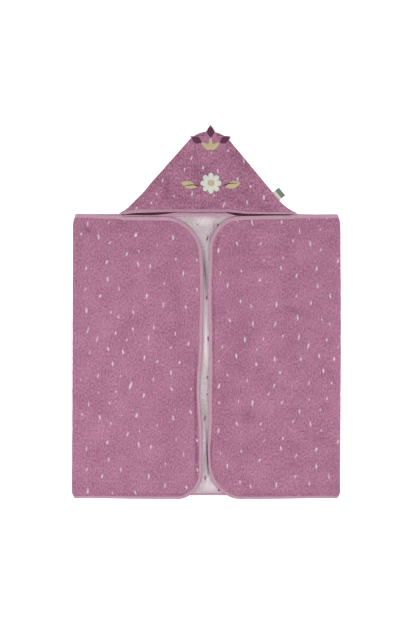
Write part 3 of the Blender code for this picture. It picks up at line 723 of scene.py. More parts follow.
# The binding round the body
# Cotton tape 16 mm wide, folded over the raw edge all round and sewn through with one row of
# stitches that draws it in. It puckers a little along its length.
BINDING_WALL = 0.0006
TOP_TAPE_WIDER = 0.22
TURNED_UNDER = [
    # x, y of the places on an edge where less of its tape shows, half how far, what share less
    (0.648, -0.355, 0.090, 0.35), (0.170, 0.240, 0.140, 0.32), (-0.616, 0.210, 0.085, 0.22),
]
STITCH_IN = 0.0054
BINDING_PROFILE = [
    # metres past the cut's edge, and above the middle of the cloth
    (-0.0071, 0.00070), (-0.0064, 0.00078), (-0.0056, 0.00084), (-0.0048, 0.00112),
    (-0.0038, 0.00142), (-0.0027, 0.00156), (-0.0016, 0.00146), (-0.0006, 0.00112),
    (0.0002, 0.00064), (0.0007, 0.00020), (0.0007, -0.00040), (0.0000, -0.00085),
    (-0.0012, -0.00110), (-0.0030, -0.00112),
    (-0.0044, -0.00098), (-0.0054, -0.00080), (-0.0064, -0.00092), (-0.0070, -0.00105),
]
PROFILE_STEP = 0.0011
PUCKER, PUCKER_LENGTH = 0.16, 0.0065
LONG_PUCKER, LONG_PUCKER_LENGTH = 0.10, 0.019
TAPE_WAVER, TAPE_WAVER_LENGTH = 0.00018, 0.012
TAPE_RIB = 0.0011
THREAD_LENGTH, THREAD_GAP, THREAD_RADIUS = 0.0030, 0.0012, 0.00024
THREAD_LEVEL = 0.00080 + BINDING_WALL / 2
EDGE_STEP = 0.004


def cut_edge():
    """The cut's edge anticlockwise from its bottom, as (point, direction out of the cloth)."""
    corners = [(1, "bottom_radius", -90), (1, "top_radius", 0), (-1, "top_radius", 90),
               (-1, "bottom_radius", 180)]
    arcs = []
    for side, corner, first in corners:
        radius = FLAPS[side][corner]
        end = CUT_TOP - radius if corner == "top_radius" else CUT_BOTTOM + radius
        middle = Vector((side * (cut_reach(side) - radius), end))
        turns = round(radius * math.pi / 2 / EDGE_STEP)
        for turn in range(turns + 1):
            angle = math.radians(first + 90 * turn / turns)
            outward = Vector((math.cos(angle), math.sin(angle)))
            arcs.append((middle + outward * radius, outward))
    edge = []
    for (point, outward), (after, _) in zip(arcs, arcs[1:] + arcs[:1]):
        parts = max(1, round((after - point).length / EDGE_STEP))
        edge += [(point.lerp(after, part / parts), outward) for part in range(parts)]
    return edge + edge[:1]


def with_travel(edge):
    """The same samples with the distance travelled along the edge at each."""
    travel, samples = 0.0, []
    for index, (point, outward) in enumerate(edge):
        travel += (point - edge[max(index - 1, 0)][0]).length
        samples.append((travel, point, outward))
    return samples


def folded_normal(s, v):
    step = 1e-4
    across = folded(s + step, v) - folded(s - step, v)
    along = folded(s, v + step) - folded(s, v - step)
    return across.cross(along).normalized()


def map_corners(shape, name, place_of):
    """A UV map on which each point of the shape lies where place_of(vert) says."""
    layer = shape.loops.layers.uv.new(name)
    for face in shape.faces:
        for loop in face.loops:
            loop[layer].uv = place_of(loop.vert)


def bound_tape(name, samples, lay, wall_finish):
    """Tape folded over an edge. lay(point, above) is the place at a height over a flat point."""
    strip, places = ruled_grid(samples, BINDING_PROFILE)

    def on_tape(vert):
        sample, row = places[vert]
        return sample[0], BINDING_PROFILE.index(row) * PROFILE_STEP

    map_corners(strip, "Tape", on_tape)
    for vert, ((travel, point, outward), (past, above)) in places.items():
        puckers = 1 + PUCKER * uneven(travel, past, PUCKER_LENGTH)
        puckers += LONG_PUCKER * uneven(travel, 0, LONG_PUCKER_LENGTH)
        turned = sum(share * bump((point - Vector((x, y))).length, 0, reach)
                     for x, y, reach, share in TURNED_UNDER)
        past *= 1 + TOP_TAPE_WIDER * outward.y - turned if past < 0 else 1
        past += TAPE_WAVER * uneven(travel, 0.5, TAPE_WAVER_LENGTH)
        vert.co = lay(point + outward * past, above * puckers)
    bmesh.ops.remove_doubles(strip, verts=strip.verts, dist=1e-6)
    made = as_object(name, strip, [wall_finish])
    give_wall(made, BINDING_WALL)
    return in_towel(made)


def stitches(name, places):
    """Stitches of thread, one drawn-out bead for each (middle, direction)."""
    bead = bmesh.new()
    bmesh.ops.create_icosphere(bead, subdivisions=1, radius=1)
    corners = [vert.co * THREAD_RADIUS for vert in bead.verts]
    faces = [[vert.index for vert in face.verts] for face in bead.faces]
    bead.free()
    points, sides = [], []
    for middle, direction in places:
        turn = direction.to_track_quat("X", "Z").to_matrix()
        sides += [[len(points) + corner for corner in face] for face in faces]
        for corner in corners:
            half = corner.x / THREAD_RADIUS * THREAD_LENGTH / 2
            points.append(middle + turn @ Vector((half, *corner.yz)))
    mesh = bpy.data.meshes.new(name)
    mesh.from_pydata(points, [], sides)
    mesh.shade_smooth()
    mesh.materials.append(mauve_thread)
    made = bpy.data.objects.new(name, mesh)
    bpy.context.scene.collection.objects.link(made)
    return in_towel(made)


def sewn_places(samples, lay):
    """Middles and directions of the stitches along a tape, on both its faces."""
    pitch = THREAD_LENGTH + THREAD_GAP
    places = []
    for face in (1, -1):
        track = [(travel, lay(point - outward * STITCH_IN, face * THREAD_LEVEL))
                 for travel, point, outward in samples]
        number, index = 0, 1
        while index < len(track):
            (before, start), (after, end) = track[index - 1], track[index]
            along = (number + 0.5) * pitch
            if along > after:
                index += 1
                continue
            if along >= before and (end - start).length > 1e-6:
                middle = start.lerp(end, (along - before) / (after - before))
                places.append((middle, end - start))
            number += 1
    return places


def tape_cloth(name, low, high):
    """Fine plain-woven cotton with slanting ribs, a little uneven in its dye."""
    finish = Finish(name, roughness=0.72, sheen_weight=0.10, sheen_roughness=0.4)
    place = finish.uv("Tape")
    along, across = finish.parts(place)
    ribs = (along + across * 0.6).wave(TAPE_RIB) * 0.5 + 0.5
    threads = (along - across * 1.4).wave(TAPE_RIB * 0.8) * 0.5 + 0.5
    dye = finish.noise(place, 0.006, 3.0, 0.6)
    share = dye * 0.9 + ribs * 0.12 + threads * 0.10 - 0.06
    return finish.dress(finish.mix(share, low, high), ribs * 0.5 + threads * 0.5, 0.00025, 0.8)


def thread(name, colour, gleam=0.5):
    """Spun thread: a soft sheen and a slight change of shade from stitch to stitch."""
    finish = Finish(name, roughness=0.6, sheen_weight=0.3 * gleam)
    finish.shader.inputs["Specular IOR Level"].default_value = gleam
    shade = finish.noise(finish.place(), 0.004, 2.0)
    darker = tuple(value * 0.72 for value in colour)
    twist = finish.noise(finish.place(), 0.0006, 1.0)
    return finish.dress(finish.mix(shade, darker, colour), twist, 0.0002, 0.6)


tape_cotton = tape_cloth("tape_cotton", dyed(184, 136, 158), dyed(216, 171, 192))
mauve_thread = thread("mauve_thread", dyed(184, 128, 156))


def over_body(flat, above):
    return folded(*flat) + folded_normal(*flat) * above


body_edge = with_travel(cut_edge())
body_tape = bound_tape("body_tape", body_edge, over_body, tape_cotton)
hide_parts("body_binding")
body_stitches = stitches("body_stitches", sewn_places(body_edge, over_body))


# The hood's under layer
# A triangle of the same terry with a round tip, sewn to the middle of the body's top edge, its
# pale inside upwards. It shows as a thin strip in the hood's opening.
SEAM = 0.0016
HOOD_APEX = Vector((0.0086, 0.4790))
HOOD_SPREAD = {-1: 0.8875, 1: 0.8310}
HOOD_TIP_RADIUS = 0.068
HOOD_TIP_CUT = math.radians(87)
HOOD_FLARE = {-1: 0.0105, 1: 0.0165}
HOOD_FLARE_HEIGHT = {-1: 0.022, 1: 0.032}
HOOD_HOLLOW = {-1: 0.0020, 1: 0.0}
HOOD_HOLLOW_MIDDLE, HOOD_HOLLOW_HALF = 0.282, 0.040
HOOD_BASE = 0.2404
SEAM_EDGE, SEAM_SHOULDER = 0.004, 0.024
ROLLED_FROM, ROLLED_TO = -0.0002, 0.0022
HOOD_COLUMNS, TIP_ROWS = 150, 16
UNDER_SPACING = 0.0026
UNDER_CHART_LEFT, UNDER_CHART_UP = -0.25, 40
BACK_RISE_FADES = 0.009
MOUTH_DASH = (-26.0, -2.0, 80, 2.4, 1.6)
MEND = 0.80  # how much closer the columns lie at the seams than in the middle


def hood_tip():
    """The middle of the hood's round tip, and each side's lean from upright."""
    leans = {side: math.atan(spread) for side, spread in HOOD_SPREAD.items()}
    half_angle = (leans[-1] + leans[1]) / 2
    turn = (leans[1] - leans[-1]) / 2
    down = Vector((math.sin(turn), -math.cos(turn)))
    return HOOD_APEX + down * (HOOD_TIP_RADIUS / math.sin(half_angle)), leans


TIP, LEANS = hood_tip()


def hood_side(side, y):
    """Where the sewn side of the hood is at this height."""
    if y > TIP.y + HOOD_TIP_RADIUS * math.sin(LEANS[side]):
        return TIP.x + side * math.sqrt(max(0.0, HOOD_TIP_RADIUS**2 - (y - TIP.y) ** 2))
    flare = HOOD_FLARE[side] * max(0.0, 1 - (y - HOOD_BASE) / HOOD_FLARE_HEIGHT[side]) ** 2
    hollow = HOOD_HOLLOW[side] * bump(y, HOOD_HOLLOW_MIDDLE, HOOD_HOLLOW_HALF)
    return HOOD_APEX.x + side * (HOOD_SPREAD[side] * (HOOD_APEX.y - y) + flare - hollow)


def seam_depth(x, y):
    """How far a place on the hood is in from its sewn sides and tip."""
    from_tip = Vector((x, y)) - TIP
    if all(from_tip.y * math.cos(LEANS[side]) > side * from_tip.x * math.sin(LEANS[side])
           for side in (-1, 1)):
        return HOOD_TIP_RADIUS - from_tip.length
    return min(side * (hood_side(side, y) - x) * math.cos(LEANS[side]) for side in (-1, 1))


def seam_thickness(x, y):
    depth = seam_depth(x, y)
    rolled = 0.5 + 0.5 * math.sqrt(smooth(depth, ROLLED_FROM, ROLLED_TO))
    return (SEAM + (TERRY - SEAM) * smooth(depth, SEAM_EDGE, SEAM_SHOULDER)) * rolled


def across_hood(share, y):
    left, right = hood_side(-1, y), hood_side(1, y)
    return left + share * (right - left)


def hood_columns():
    return [share - MEND * math.sin(2 * math.pi * share) / (2 * math.pi)
            for share in shares(HOOD_COLUMNS)]


def hood_rows(start, spacing):
    """Heights up the hood's sides and round its tip."""
    shoulder = max(LEANS.values())
    side_end = TIP.y + HOOD_TIP_RADIUS * math.sin(shoulder)
    count = round((side_end - start) / spacing)
    rows = [start + (side_end - start) * step / count for step in range(count)]
    turns = [shoulder] + stretch(shoulder, HOOD_TIP_CUT - shoulder, TIP_ROWS)
    return rows + [TIP.y + HOOD_TIP_RADIUS * math.sin(turn) for turn in turns]


def hood_back_flat(share, y):
    x = across_hood(share, y)
    return x, y + back_top_rise(x) * (1 - smooth(y, HOOD_BASE, HOOD_BASE + BACK_RISE_FADES))


def hood_back_lay(x, y):
    return Vector((x, y, seam_thickness(x, y) / 2))


def seam_fullness(x, y):
    return seam_thickness(x, y) / TERRY


def hood_back_dashes():
    """The under layer is cut from the cloth beside the body's left half."""
    found = [charted(across, down - UNDER_CHART_UP, *form, UNDER_CHART_LEFT, False)
             for across, down, *form in DASHES]
    return Dashes(found + [charted(*MOUTH_DASH, 0, False)])


hood_under = terry_panel("hood_under_cloth", hood_columns(), hood_rows(HOOD_BASE, UNDER_SPACING),
                         hood_back_flat, hood_back_lay, seam_fullness, hood_back_dashes(), [],
                         [terry_inside, terry_outside])
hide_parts("hood_back")


# The hood's outer layer
# The same triangle, sewn to the under layer along its two sides and open at the bottom. The seams
# hold its edges low and its middle stands a little proud, with soft creases from the daisy.
HOOD_SEAM_LEVEL = 0.0027
HOOD_SHOULDER_FROM, HOOD_SHOULDER_RISE = 0.003, 0.0023
HOOD_CROWN_RISE, HOOD_CROWN_FROM = 0.0018, 0.060
MOUTH_LIFT, MOUTH_LIFT_FROM, MOUTH_LIFT_TO = 0.0009, 0.008, 0.030
MOUTH_BASE = HOOD_BASE + 0.0006
MOUTH_RISE = 0.0042
MOUTH_RISES_FROM, MOUTH_RISES_TO = -0.215, -0.165
MOUTH_FALLS_FROM, MOUTH_FALLS_TO = 0.045, 0.110
MOUTH_ARCH_FROM, MOUTH_ARCH_FADES = 0.010, 0.060
BINDING_PAST_EDGE = 0.0010
MOUTH_CUT = MOUTH_BASE + BINDING_PAST_EDGE
OUTER_FIRST, OUTER_SPACING = 0.0012, 0.0018
HOOD_LUMPS = [(0.0003, 0.030)]
SWELLS_FROM, SWELLS_TO = 0.004, 0.016
HOOD_SWELLS = [
    # x, y, turn in degrees, length, width, height of a ridge (+) or trough (-)
    (-0.117, 0.307, 84, 0.075, 0.018, 0.0007),
    (-0.089, 0.303, 82, 0.080, 0.024, -0.0009),
    (0.119, 0.291, -27, 0.080, 0.028, -0.0009),
    (0.143, 0.277, -30, 0.070, 0.022, 0.0006),
    (-0.045, 0.355, 40, 0.080, 0.026, -0.0006),
    (0.070, 0.352, -38, 0.080, 0.026, -0.0006),
    (0.010, 0.282, 2, 0.090, 0.022, -0.0006),
    (-0.150, 0.268, 38, 0.070, 0.020, -0.0006),
]
HOOD_NAP_AND_SHADE_PATCHES = [
    # the same, with how much lighter (+) or darker (-) the colour is made there: partly where the
    # pile lies over, partly painted shade, as the whole hood made darker for the dimmer light on it
    # and its darker creases
    (-0.114, 0.286, 84, 0.075, 0.012, 0.08), (-0.096, 0.298, 84, 0.080, 0.018, -0.10),
    (0.107, 0.267, -8, 0.130, 0.030, -0.12), (0.136, 0.281, 0, 0.090, 0.030, -0.06),
    (-0.028, 0.396, 60, 0.050, 0.030, -0.10), (-0.015, 0.257, 0, 0.200, 0.012, -0.05),
    (0.055, 0.335, -50, 0.090, 0.030, -0.06), (-0.150, 0.262, 40, 0.060, 0.020, 0.05),
    (0.008, 0.310, 0, 0.700, 0.500, -0.08), (0.089, 0.262, 0, 0.080, 0.030, -0.06),
    (0.150, 0.255, 0, 0.060, 0.030, -0.08), (-0.046, 0.262, 0, 0.060, 0.030, 0.05),
]
HOOD_DASHES = [
    # squares across from the middle and up from the base, lean, length, width
    (-14.7, 56, 20, 4.5, 1.6), (-21.6, 44.3, 5, 4, 1.5), (-3.2, 46.3, 0, 4, 1.7),
    (11.5, 42.7, -15, 4.5, 1.6), (37.5, 53, -10, 5, 1.6), (31.4, 34.8, 15, 4.5, 1.7),
    (-43.7, 33.6, 10, 4.5, 1.7), (-49.5, 19.9, 0, 3.4, 2.0), (-32.2, 17.8, 0, 3, 1.2),
    (-14.2, 19.9, 5, 5.5, 1.6), (-54.9, 11.2, 30, 3.6, 1.4), (-69.7, 6.1, 30, 3.6, 1.5),
    (44.2, 27.5, 0, 2.8, 1.8), (57.7, 16.6, 0, 4.6, 2.1), (40.8, 11.5, 0, 4.8, 2.0),
    (17.8, 9.4, 22, 6.5, 1.7), (4.8, 61.2, 0, 3.5, 1.2), (22, 63.5, 20, 3, 1.3),
    (7.5, 18.5, 30, 3, 1.5),
]


def mouth_edge(x):
    """The lower edge of the hood's opening, the binding included."""
    rises = smooth(x, MOUTH_RISES_FROM, MOUTH_RISES_TO)
    falls = smooth(x, MOUTH_FALLS_FROM, MOUTH_FALLS_TO)
    return MOUTH_BASE + MOUTH_RISE * rises * (1 - falls)


def hood_level(x, y):
    """The height of the middle of the outer layer's wall."""
    depth = seam_depth(x, y)
    level = HOOD_SEAM_LEVEL
    level += HOOD_SHOULDER_RISE * smooth(depth, HOOD_SHOULDER_FROM, SEAM_SHOULDER)
    level += HOOD_CROWN_RISE * smooth(depth, SEAM_SHOULDER, HOOD_CROWN_FROM)
    from_mouth = y - mouth_edge(x)
    level += MOUTH_LIFT * (1 - smooth(from_mouth, MOUTH_LIFT_FROM, MOUTH_LIFT_TO))
    raised = swell(x, y, HOOD_SWELLS) + lumps(x, y, HOOD_LUMPS)
    return level + raised * smooth(depth, SWELLS_FROM, SWELLS_TO)


def hood_top(x, y):
    """The height of the outer face of the outer layer."""
    return hood_level(x, y) + seam_thickness(x, y) / 2


def mouth_flat(share, nominal):
    """A place on the outer layer: its rows follow the opening's arch, which fades upwards."""
    x = across_hood(share, nominal)
    fade = 1 - smooth(nominal - MOUTH_BASE, MOUTH_ARCH_FROM, MOUTH_ARCH_FADES)
    return x, nominal + (mouth_edge(x) - MOUTH_BASE) * fade


def hood_lay(x, y):
    return Vector((x, y, hood_level(x, y)))


def hood_fullness(x, y):
    from_edge = y - mouth_edge(x) - BINDING_PAST_EDGE
    return min(seam_fullness(x, y), bound_fullness(from_edge))


mouth_rows = [MOUTH_CUT + inset for inset in RIM_INSETS if inset <= PRESSED_RIM]
hood_dashes = Dashes([charted(across, -up, *form, 0, False) for across, up, *form in HOOD_DASHES])
hood = terry_panel("hood_cloth", hood_columns(),
                   mouth_rows + hood_rows(MOUTH_CUT + PRESSED_RIM + OUTER_FIRST, OUTER_SPACING),
                   mouth_flat, hood_lay, hood_fullness, hood_dashes, HOOD_NAP_AND_SHADE_PATCHES,
                   [terry("hood_outside", MAUVE_LOW, MAUVE_HIGH, MAUVE_PAINTED_SHADOW, MAUVE_DASH, 1.35),
                    terry_inside])
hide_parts("hood_front")


# The binding on the hood's opening
# The same tape in a slightly darker shade, folded over the outer layer's lower edge and sewn
# through. Its ends are caught in the side seams.
BINDING_TAIL = 0.004  # as a share of the opening's width
MOUTH_STEPS = 110


def mouth_samples():
    """Samples along the opening, as (travel, flat point, step out of the cloth for each metre)."""
    edge = []
    for share in [-BINDING_TAIL] + shares(MOUTH_STEPS) + [1 + BINDING_TAIL]:
        out, inside = (Vector(mouth_flat(share, MOUTH_CUT - past))
                       for past in (BINDING_PAST_EDGE, -BINDING_WIDTH))
        edge.append((Vector(mouth_flat(share, MOUTH_CUT)),
                     (out - inside) / (BINDING_PAST_EDGE + BINDING_WIDTH)))
    return with_travel(edge)


def over_hood(flat, above):
    x, y = flat
    return Vector((x, y, hood_level(x, y) + above))


mouth = mouth_samples()
mouth_cotton = tape_cloth("mouth_cotton", dyed(175, 123, 148), dyed(208, 160, 183))
hood_tape = bound_tape("hood_tape", mouth, over_hood, mouth_cotton)
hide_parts("hood_binding")
hood_stitches = stitches("hood_stitches", sewn_places(mouth, over_hood))


# The painted shadow in the hood's opening
# A raised line of dark plum thread from the under layer's lower edge down to the body's top edge:
# painted shadow, standing in for the shade inside the hood's opening. It shows as the dark line
# below the hood's binding, wide at both its ends and thin in the middle.
SHADOW_LINE_FOOT = 0.2352
SHADOW_LINE_THIN = 0.0015
SHADOW_LINE_BELOW_MOUTH = 0.0005
SHADOW_LINE_NARROWS_FROM, SHADOW_LINE_NARROWS_TO = -0.140, -0.066
SHADOW_LINE_WIDENS_FROM, SHADOW_LINE_WIDENS_TO = 0.045, 0.080
SHADOW_LINE_LEVEL, SHADOW_LINE_HEIGHT = 0.0033, 0.0006
SHADOW_LINE_ENDS = (-0.2090, 0.2220)
SHADOW_LINE_STEPS, SHADOW_LINE_LOOP, SHADOW_LINE_LOOPS = 400, 0.12, 500
SATIN_SIDES = 10

# Dark plum thread for the painted shadow line in the hood's opening.
shadow_line_thread = thread("shadow_line_thread", dyed(92, 42, 65), 0.1)


def satin_line(name, path, surface, width, height, finish, steps=40):
    """A raised line of close stitches that tapers to a point at both its ends.

    path(share) is its middle and a step across it, which is longer where the line is wider.
    """
    line, places = ruled_grid(shares(steps), list(range(SATIN_SIDES + 1)))
    for vert, (share, side) in places.items():
        point, beside = path(share)
        swelling = math.sin(math.pi * share) ** 0.4 if 0 < share < 1 else 0
        angle = math.tau * side / SATIN_SIDES
        point = point + beside * (math.cos(angle) * width / 2 * swelling)
        vert.co = (*point, surface(*point) + math.sin(angle) * height * swelling)
    bmesh.ops.remove_doubles(line, verts=line.verts, dist=1e-6)
    bmesh.ops.recalc_face_normals(line, faces=line.faces)
    return in_towel(as_object(name, line, [finish]))


def shadow_line_path(share):
    x = SHADOW_LINE_ENDS[0] + share * (SHADOW_LINE_ENDS[1] - SHADOW_LINE_ENDS[0])
    head = mouth_edge(x) - SHADOW_LINE_BELOW_MOUTH
    thin = smooth(x, SHADOW_LINE_NARROWS_FROM, SHADOW_LINE_NARROWS_TO)
    thin *= 1 - smooth(x, SHADOW_LINE_WIDENS_FROM, SHADOW_LINE_WIDENS_TO)
    foot = SHADOW_LINE_FOOT + (head - SHADOW_LINE_THIN - SHADOW_LINE_FOOT) * thin
    loop = 1 + SHADOW_LINE_LOOP * math.sin(share * SHADOW_LINE_LOOPS) * (1 - thin)
    return Vector((x, (head + foot) / 2)), Vector((0, (head - foot) * loop))


def shadow_line_level(x, y):
    return SHADOW_LINE_LEVEL


# The painted shadow line: dark thread laid where the hood's opening is in shade.
satin_line("mouth_shadow_line", shadow_line_path, shadow_line_level, 1, SHADOW_LINE_HEIGHT, shadow_line_thread,
           SHADOW_LINE_STEPS)


# The sprig at the hood's tip
# Three padded leaves of mauve terry in one piece, sewn over the tip and standing past it, edged
# with lighter satin stitch. A plum felt leaf lies on each, past a forked stem of beige felt.
SPRIG_ROOT = Vector((0.0105, 0.4010))
SPRIG_THICKNESS = 0.0020
SPRIG_ROOT_LEVEL, SPRIG_FALL = 0.0085, 0.045
SPRIG_TURNS = [-60, 0, 60]
LOBE_LENGTH, LOBE_HALF_WIDTH = 0.0590, 0.0165
LOBE_FULLEST = 0.75  # the power of the way along a lobe, which moves its widest place
LOBE_VALLEY, LOBE_FOOT = 0.48, 0.12  # where its outline starts, as shares of its length
LOBE_STEPS = 18
SPRIG_LEAF_START, SPRIG_LEAF_LENGTH, SPRIG_LEAF_WIDTH = 0.0260, 0.0270, 0.0170
STEM_REACH, STEM_FORK, STEM_HALF_TURN = 0.0250, 0.0110, 7
STEM_VALLEY_TURN, STEM_FOOT_TURN = 30, 115
GAP = 0.0003
FELT = 0.0010
PUFF_STEPS, PUFF_DROP = 9, 0.25
ROUNDING_PASSES = 2
LEAF_STEPS = 24
MIDRIB_DEPTH, MIDRIB_HALF = 0.35, 0.0012
FELT_EDGING, SPRIG_EDGING = 0.0014, 0.0028


def around(middle, degrees, distance):
    """A point at a distance from the middle, turned clockwise from upright."""
    turn = math.radians(degrees)
    return middle + Vector((math.sin(turn), math.cos(turn))) * distance


def rounded(corners, parts):
    """A closed outline through soft corners, cut into shorter steps."""
    points = []
    for corner, after in zip(corners, corners[1:] + corners[:1]):
        points += [corner.lerp(after, part / parts) for part in range(parts)]
    for _ in range(ROUNDING_PASSES):
        points = [(points[index - 1] + point * 2 + points[(index + 1) % len(points)]) / 4
                  for index, point in enumerate(points)]
    return points


def puffed(height):
    """A piece's section: shares of the way out, and heights from its top to its underside."""
    rows = [(share, height * (1 - PUFF_DROP * share**4)) for share in shares(PUFF_STEPS)]
    rows[-1:] = [(0.97, height * (1 - PUFF_DROP)), (0.995, height * 0.55), (1.0, height * 0.25)]
    return rows + [(0.99, 0.0), (0.0, 0.0)]


def laid_piece(name, outline, middle, surface, lift, height, finish, relief=None):
    """A sewn-on piece: its closed outline and section, laid at a lift above a surface."""
    rows = puffed(height)
    disc, places = ruled_grid(list(range(len(outline) + 1)), rows)
    travels, travel = [], 0.0
    for index in range(len(outline) + 1):
        travels.append(travel)
        travel += (outline[(index + 1) % len(outline)] - outline[index % len(outline)]).length

    def from_edge(vert):
        corner, (share, _) = places[vert]
        reach = (outline[corner % len(outline)] - middle).length
        return travels[corner], (1 - share) * reach

    map_corners(disc, "Edge", from_edge)
    for vert, (corner, (share, above)) in places.items():
        point = middle.lerp(outline[corner % len(outline)], share)
        above *= relief(point, share) if relief and above > 0 else 1
        vert.co = (*point, surface(*point) + lift + above)
    bmesh.ops.remove_doubles(disc, verts=disc.verts, dist=1e-6)
    bmesh.ops.recalc_face_normals(disc, faces=disc.faces)
    return in_towel(as_object(name, disc, [finish]))


def sprig_level(x, y):
    """The underside of the sprig, a shallow cone over the hood's tip."""
    return SPRIG_ROOT_LEVEL - SPRIG_FALL * (Vector((x, y)) - SPRIG_ROOT).length


def leaf_outline(middle, length, width, degrees):
    """A pointed oval about its middle, its long way turned clockwise from upright."""
    along = around(Vector((0, 0)), degrees, 1)
    beside = Vector((along.y, -along.x))
    one_side = [(share - 0.5, math.sin(math.pi * share)) for share in shares(LEAF_STEPS)[:-1]]
    up = [middle + along * (a * length) + beside * (b * width / 2) for a, b in one_side]
    down = [middle - along * (a * length) - beside * (b * width / 2) for a, b in one_side]
    return up + down


def leaf_relief(middle, degrees):
    """A groove along a leaf's midrib."""
    along = around(Vector((0, 0)), degrees, 1)

    def relief(point, share):
        return 1 - MIDRIB_DEPTH * bump((point - middle).cross(along), 0, MIDRIB_HALF)

    return relief


def felt(name, low, high, edging):
    """Brushed felt, with a satin-stitched edge of its own colour."""
    finish = Finish(name, roughness=0.9, sheen_weight=0.25, sheen_roughness=0.5)
    place = finish.place()
    travel, inward = finish.parts(finish.uv("Edge"))
    border = inward.between(FELT_EDGING, FELT_EDGING * 0.75)
    fibres = finish.noise(place, 0.0009, 3.0, 0.7)
    felted = finish.noise(place, 0.006, 2.0)
    satin = travel.wave(0.0008) * 0.5 + 0.5
    ground = finish.mix(fibres * 0.7 + felted * 0.6 - 0.15, low, high)
    sewn = finish.mix(satin * 0.5 + 0.25, edging, high)
    height = fibres * (1 - border) + (satin + 0.8) * border
    return finish.dress(finish.mix(border, ground, sewn), height, 0.00045, 0.8)


plum_felt = felt("plum_felt_cloth", dyed(84, 38, 66), dyed(112, 58, 90), dyed(100, 50, 80))
beige_felt = felt("beige_felt_cloth", dyed(186, 164, 130), dyed(216, 196, 160),
                  dyed(204, 184, 150))
cream_felt = felt("cream_felt_cloth", dyed(206, 206, 194), dyed(234, 234, 224),
                  dyed(226, 226, 214))


def edged_terry(name):
    """Terry without dashes, edged with lighter satin stitch."""
    finish = Finish(name, roughness=0.92, sheen_weight=0.2, sheen_roughness=0.45)
    place = finish.place()
    travel, inward = finish.parts(finish.uv("Edge"))
    border = inward.between(SPRIG_EDGING, SPRIG_EDGING * 0.75)
    loops = 1 - finish.cells(place, 0.0019)
    clumps = finish.noise(place, 0.0045, 2.0)
    satin = travel.wave(0.0009) * 0.5 + 0.5
    ground = finish.mix(loops * 0.5 + clumps * 0.8 - 0.25, MAUVE_LOW, MAUVE_HIGH)
    sewn = finish.mix(satin * 0.6 + 0.2, dyed(196, 146, 172), dyed(230, 184, 208))
    height = loops * (1 - border) + (satin + 0.6) * border
    return finish.dress(finish.mix(border, ground, sewn), height, 0.0008, 0.8)


def lobe_side(turn, side, start):
    """One side of a lobe of the sprig, from its start to its tip."""
    points = []
    for step in range(LOBE_STEPS + 1):
        share = start + (1 - start) * step / LOBE_STEPS
        along = share * LOBE_LENGTH
        beside = LOBE_HALF_WIDTH * math.sin(math.pi * share**LOBE_FULLEST)
        degrees = turn + side * math.degrees(math.atan2(beside, along))
        points.append(around(SPRIG_ROOT, degrees, math.hypot(along, beside)))
    return points


sprig_outline = []
for turn in reversed(SPRIG_TURNS):
    right = LOBE_FOOT if turn == SPRIG_TURNS[-1] else LOBE_VALLEY
    left = LOBE_FOOT if turn == SPRIG_TURNS[0] else LOBE_VALLEY
    sprig_outline += lobe_side(turn, 1, right) + lobe_side(turn, -1, left)[-2::-1]
sprig = laid_piece("sprig_pad", rounded(sprig_outline, 1), SPRIG_ROOT, sprig_level, 0,
                   SPRIG_THICKNESS, edged_terry("sprig_terry"))
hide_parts("sprig_backing")

on_sprig = SPRIG_THICKNESS + GAP
for number, turn in enumerate(SPRIG_TURNS, 1):
    middle = around(SPRIG_ROOT, turn, SPRIG_LEAF_START + SPRIG_LEAF_LENGTH / 2)
    outline = leaf_outline(middle, SPRIG_LEAF_LENGTH, SPRIG_LEAF_WIDTH, turn)
    leaf = laid_piece(f"sprig_felt_leaf_{number}", outline, middle, sprig_level, on_sprig, FELT,
                      plum_felt, leaf_relief(middle, turn))
    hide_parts(f"sprig_leaf_{number}")

stem_corners = [around(SPRIG_ROOT, STEM_FOOT_TURN, STEM_FORK)]
for turn in reversed(SPRIG_TURNS):
    stem_corners += [around(SPRIG_ROOT, turn + STEM_HALF_TURN, STEM_REACH),
                     around(SPRIG_ROOT, turn - STEM_HALF_TURN, STEM_REACH),
                     around(SPRIG_ROOT, turn - STEM_VALLEY_TURN, STEM_FORK)]
stem_corners[-1] = around(SPRIG_ROOT, -STEM_FOOT_TURN, STEM_FORK)
stems = laid_piece("sprig_felt_stems", rounded(stem_corners, 8), SPRIG_ROOT, sprig_level, on_sprig,
                   FELT, beige_felt)
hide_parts("sprig_stems")


# The daisy on the hood
# Eight round petals of cream felt in one piece, edged with satin stitch and drawn in along the
# lines between them, with a beige felt heart sewn on.
DAISY_MIDDLE = Vector((0.0115, 0.3150))
DAISY_RADIUS = 0.0260
DAISY_PETALS = 8
DAISY_NOTCH = 0.34
DAISY_HEART_RADIUS = 0.0075
PETAL_STEPS, HEART_STEPS = 20 * DAISY_PETALS, 48
PETAL_BLUNTNESS = 0.6  # the power that makes a petal's end blunt
PETAL_GROOVE_DEPTH, PETAL_GROOVE_HALF = 0.6, 0.0016
APPLIQUE_LIFT = 0.0006

petal_outline = []
for step in range(PETAL_STEPS):
    turn = -360 * step / PETAL_STEPS
    petal = abs(math.cos(math.radians(turn) * DAISY_PETALS / 2)) ** PETAL_BLUNTNESS
    reach = DAISY_RADIUS * (1 - DAISY_NOTCH * (1 - petal))
    petal_outline.append(around(DAISY_MIDDLE, turn, reach))


def petal_relief(point, share):
    """Grooves that part the petals."""
    offset = point - DAISY_MIDDLE
    petals = math.atan2(offset.x, offset.y) / math.tau * DAISY_PETALS
    from_groove = abs(petals - math.floor(petals) - 0.5) / DAISY_PETALS * math.tau * offset.length
    return 1 - PETAL_GROOVE_DEPTH * bump(from_groove, 0, PETAL_GROOVE_HALF)


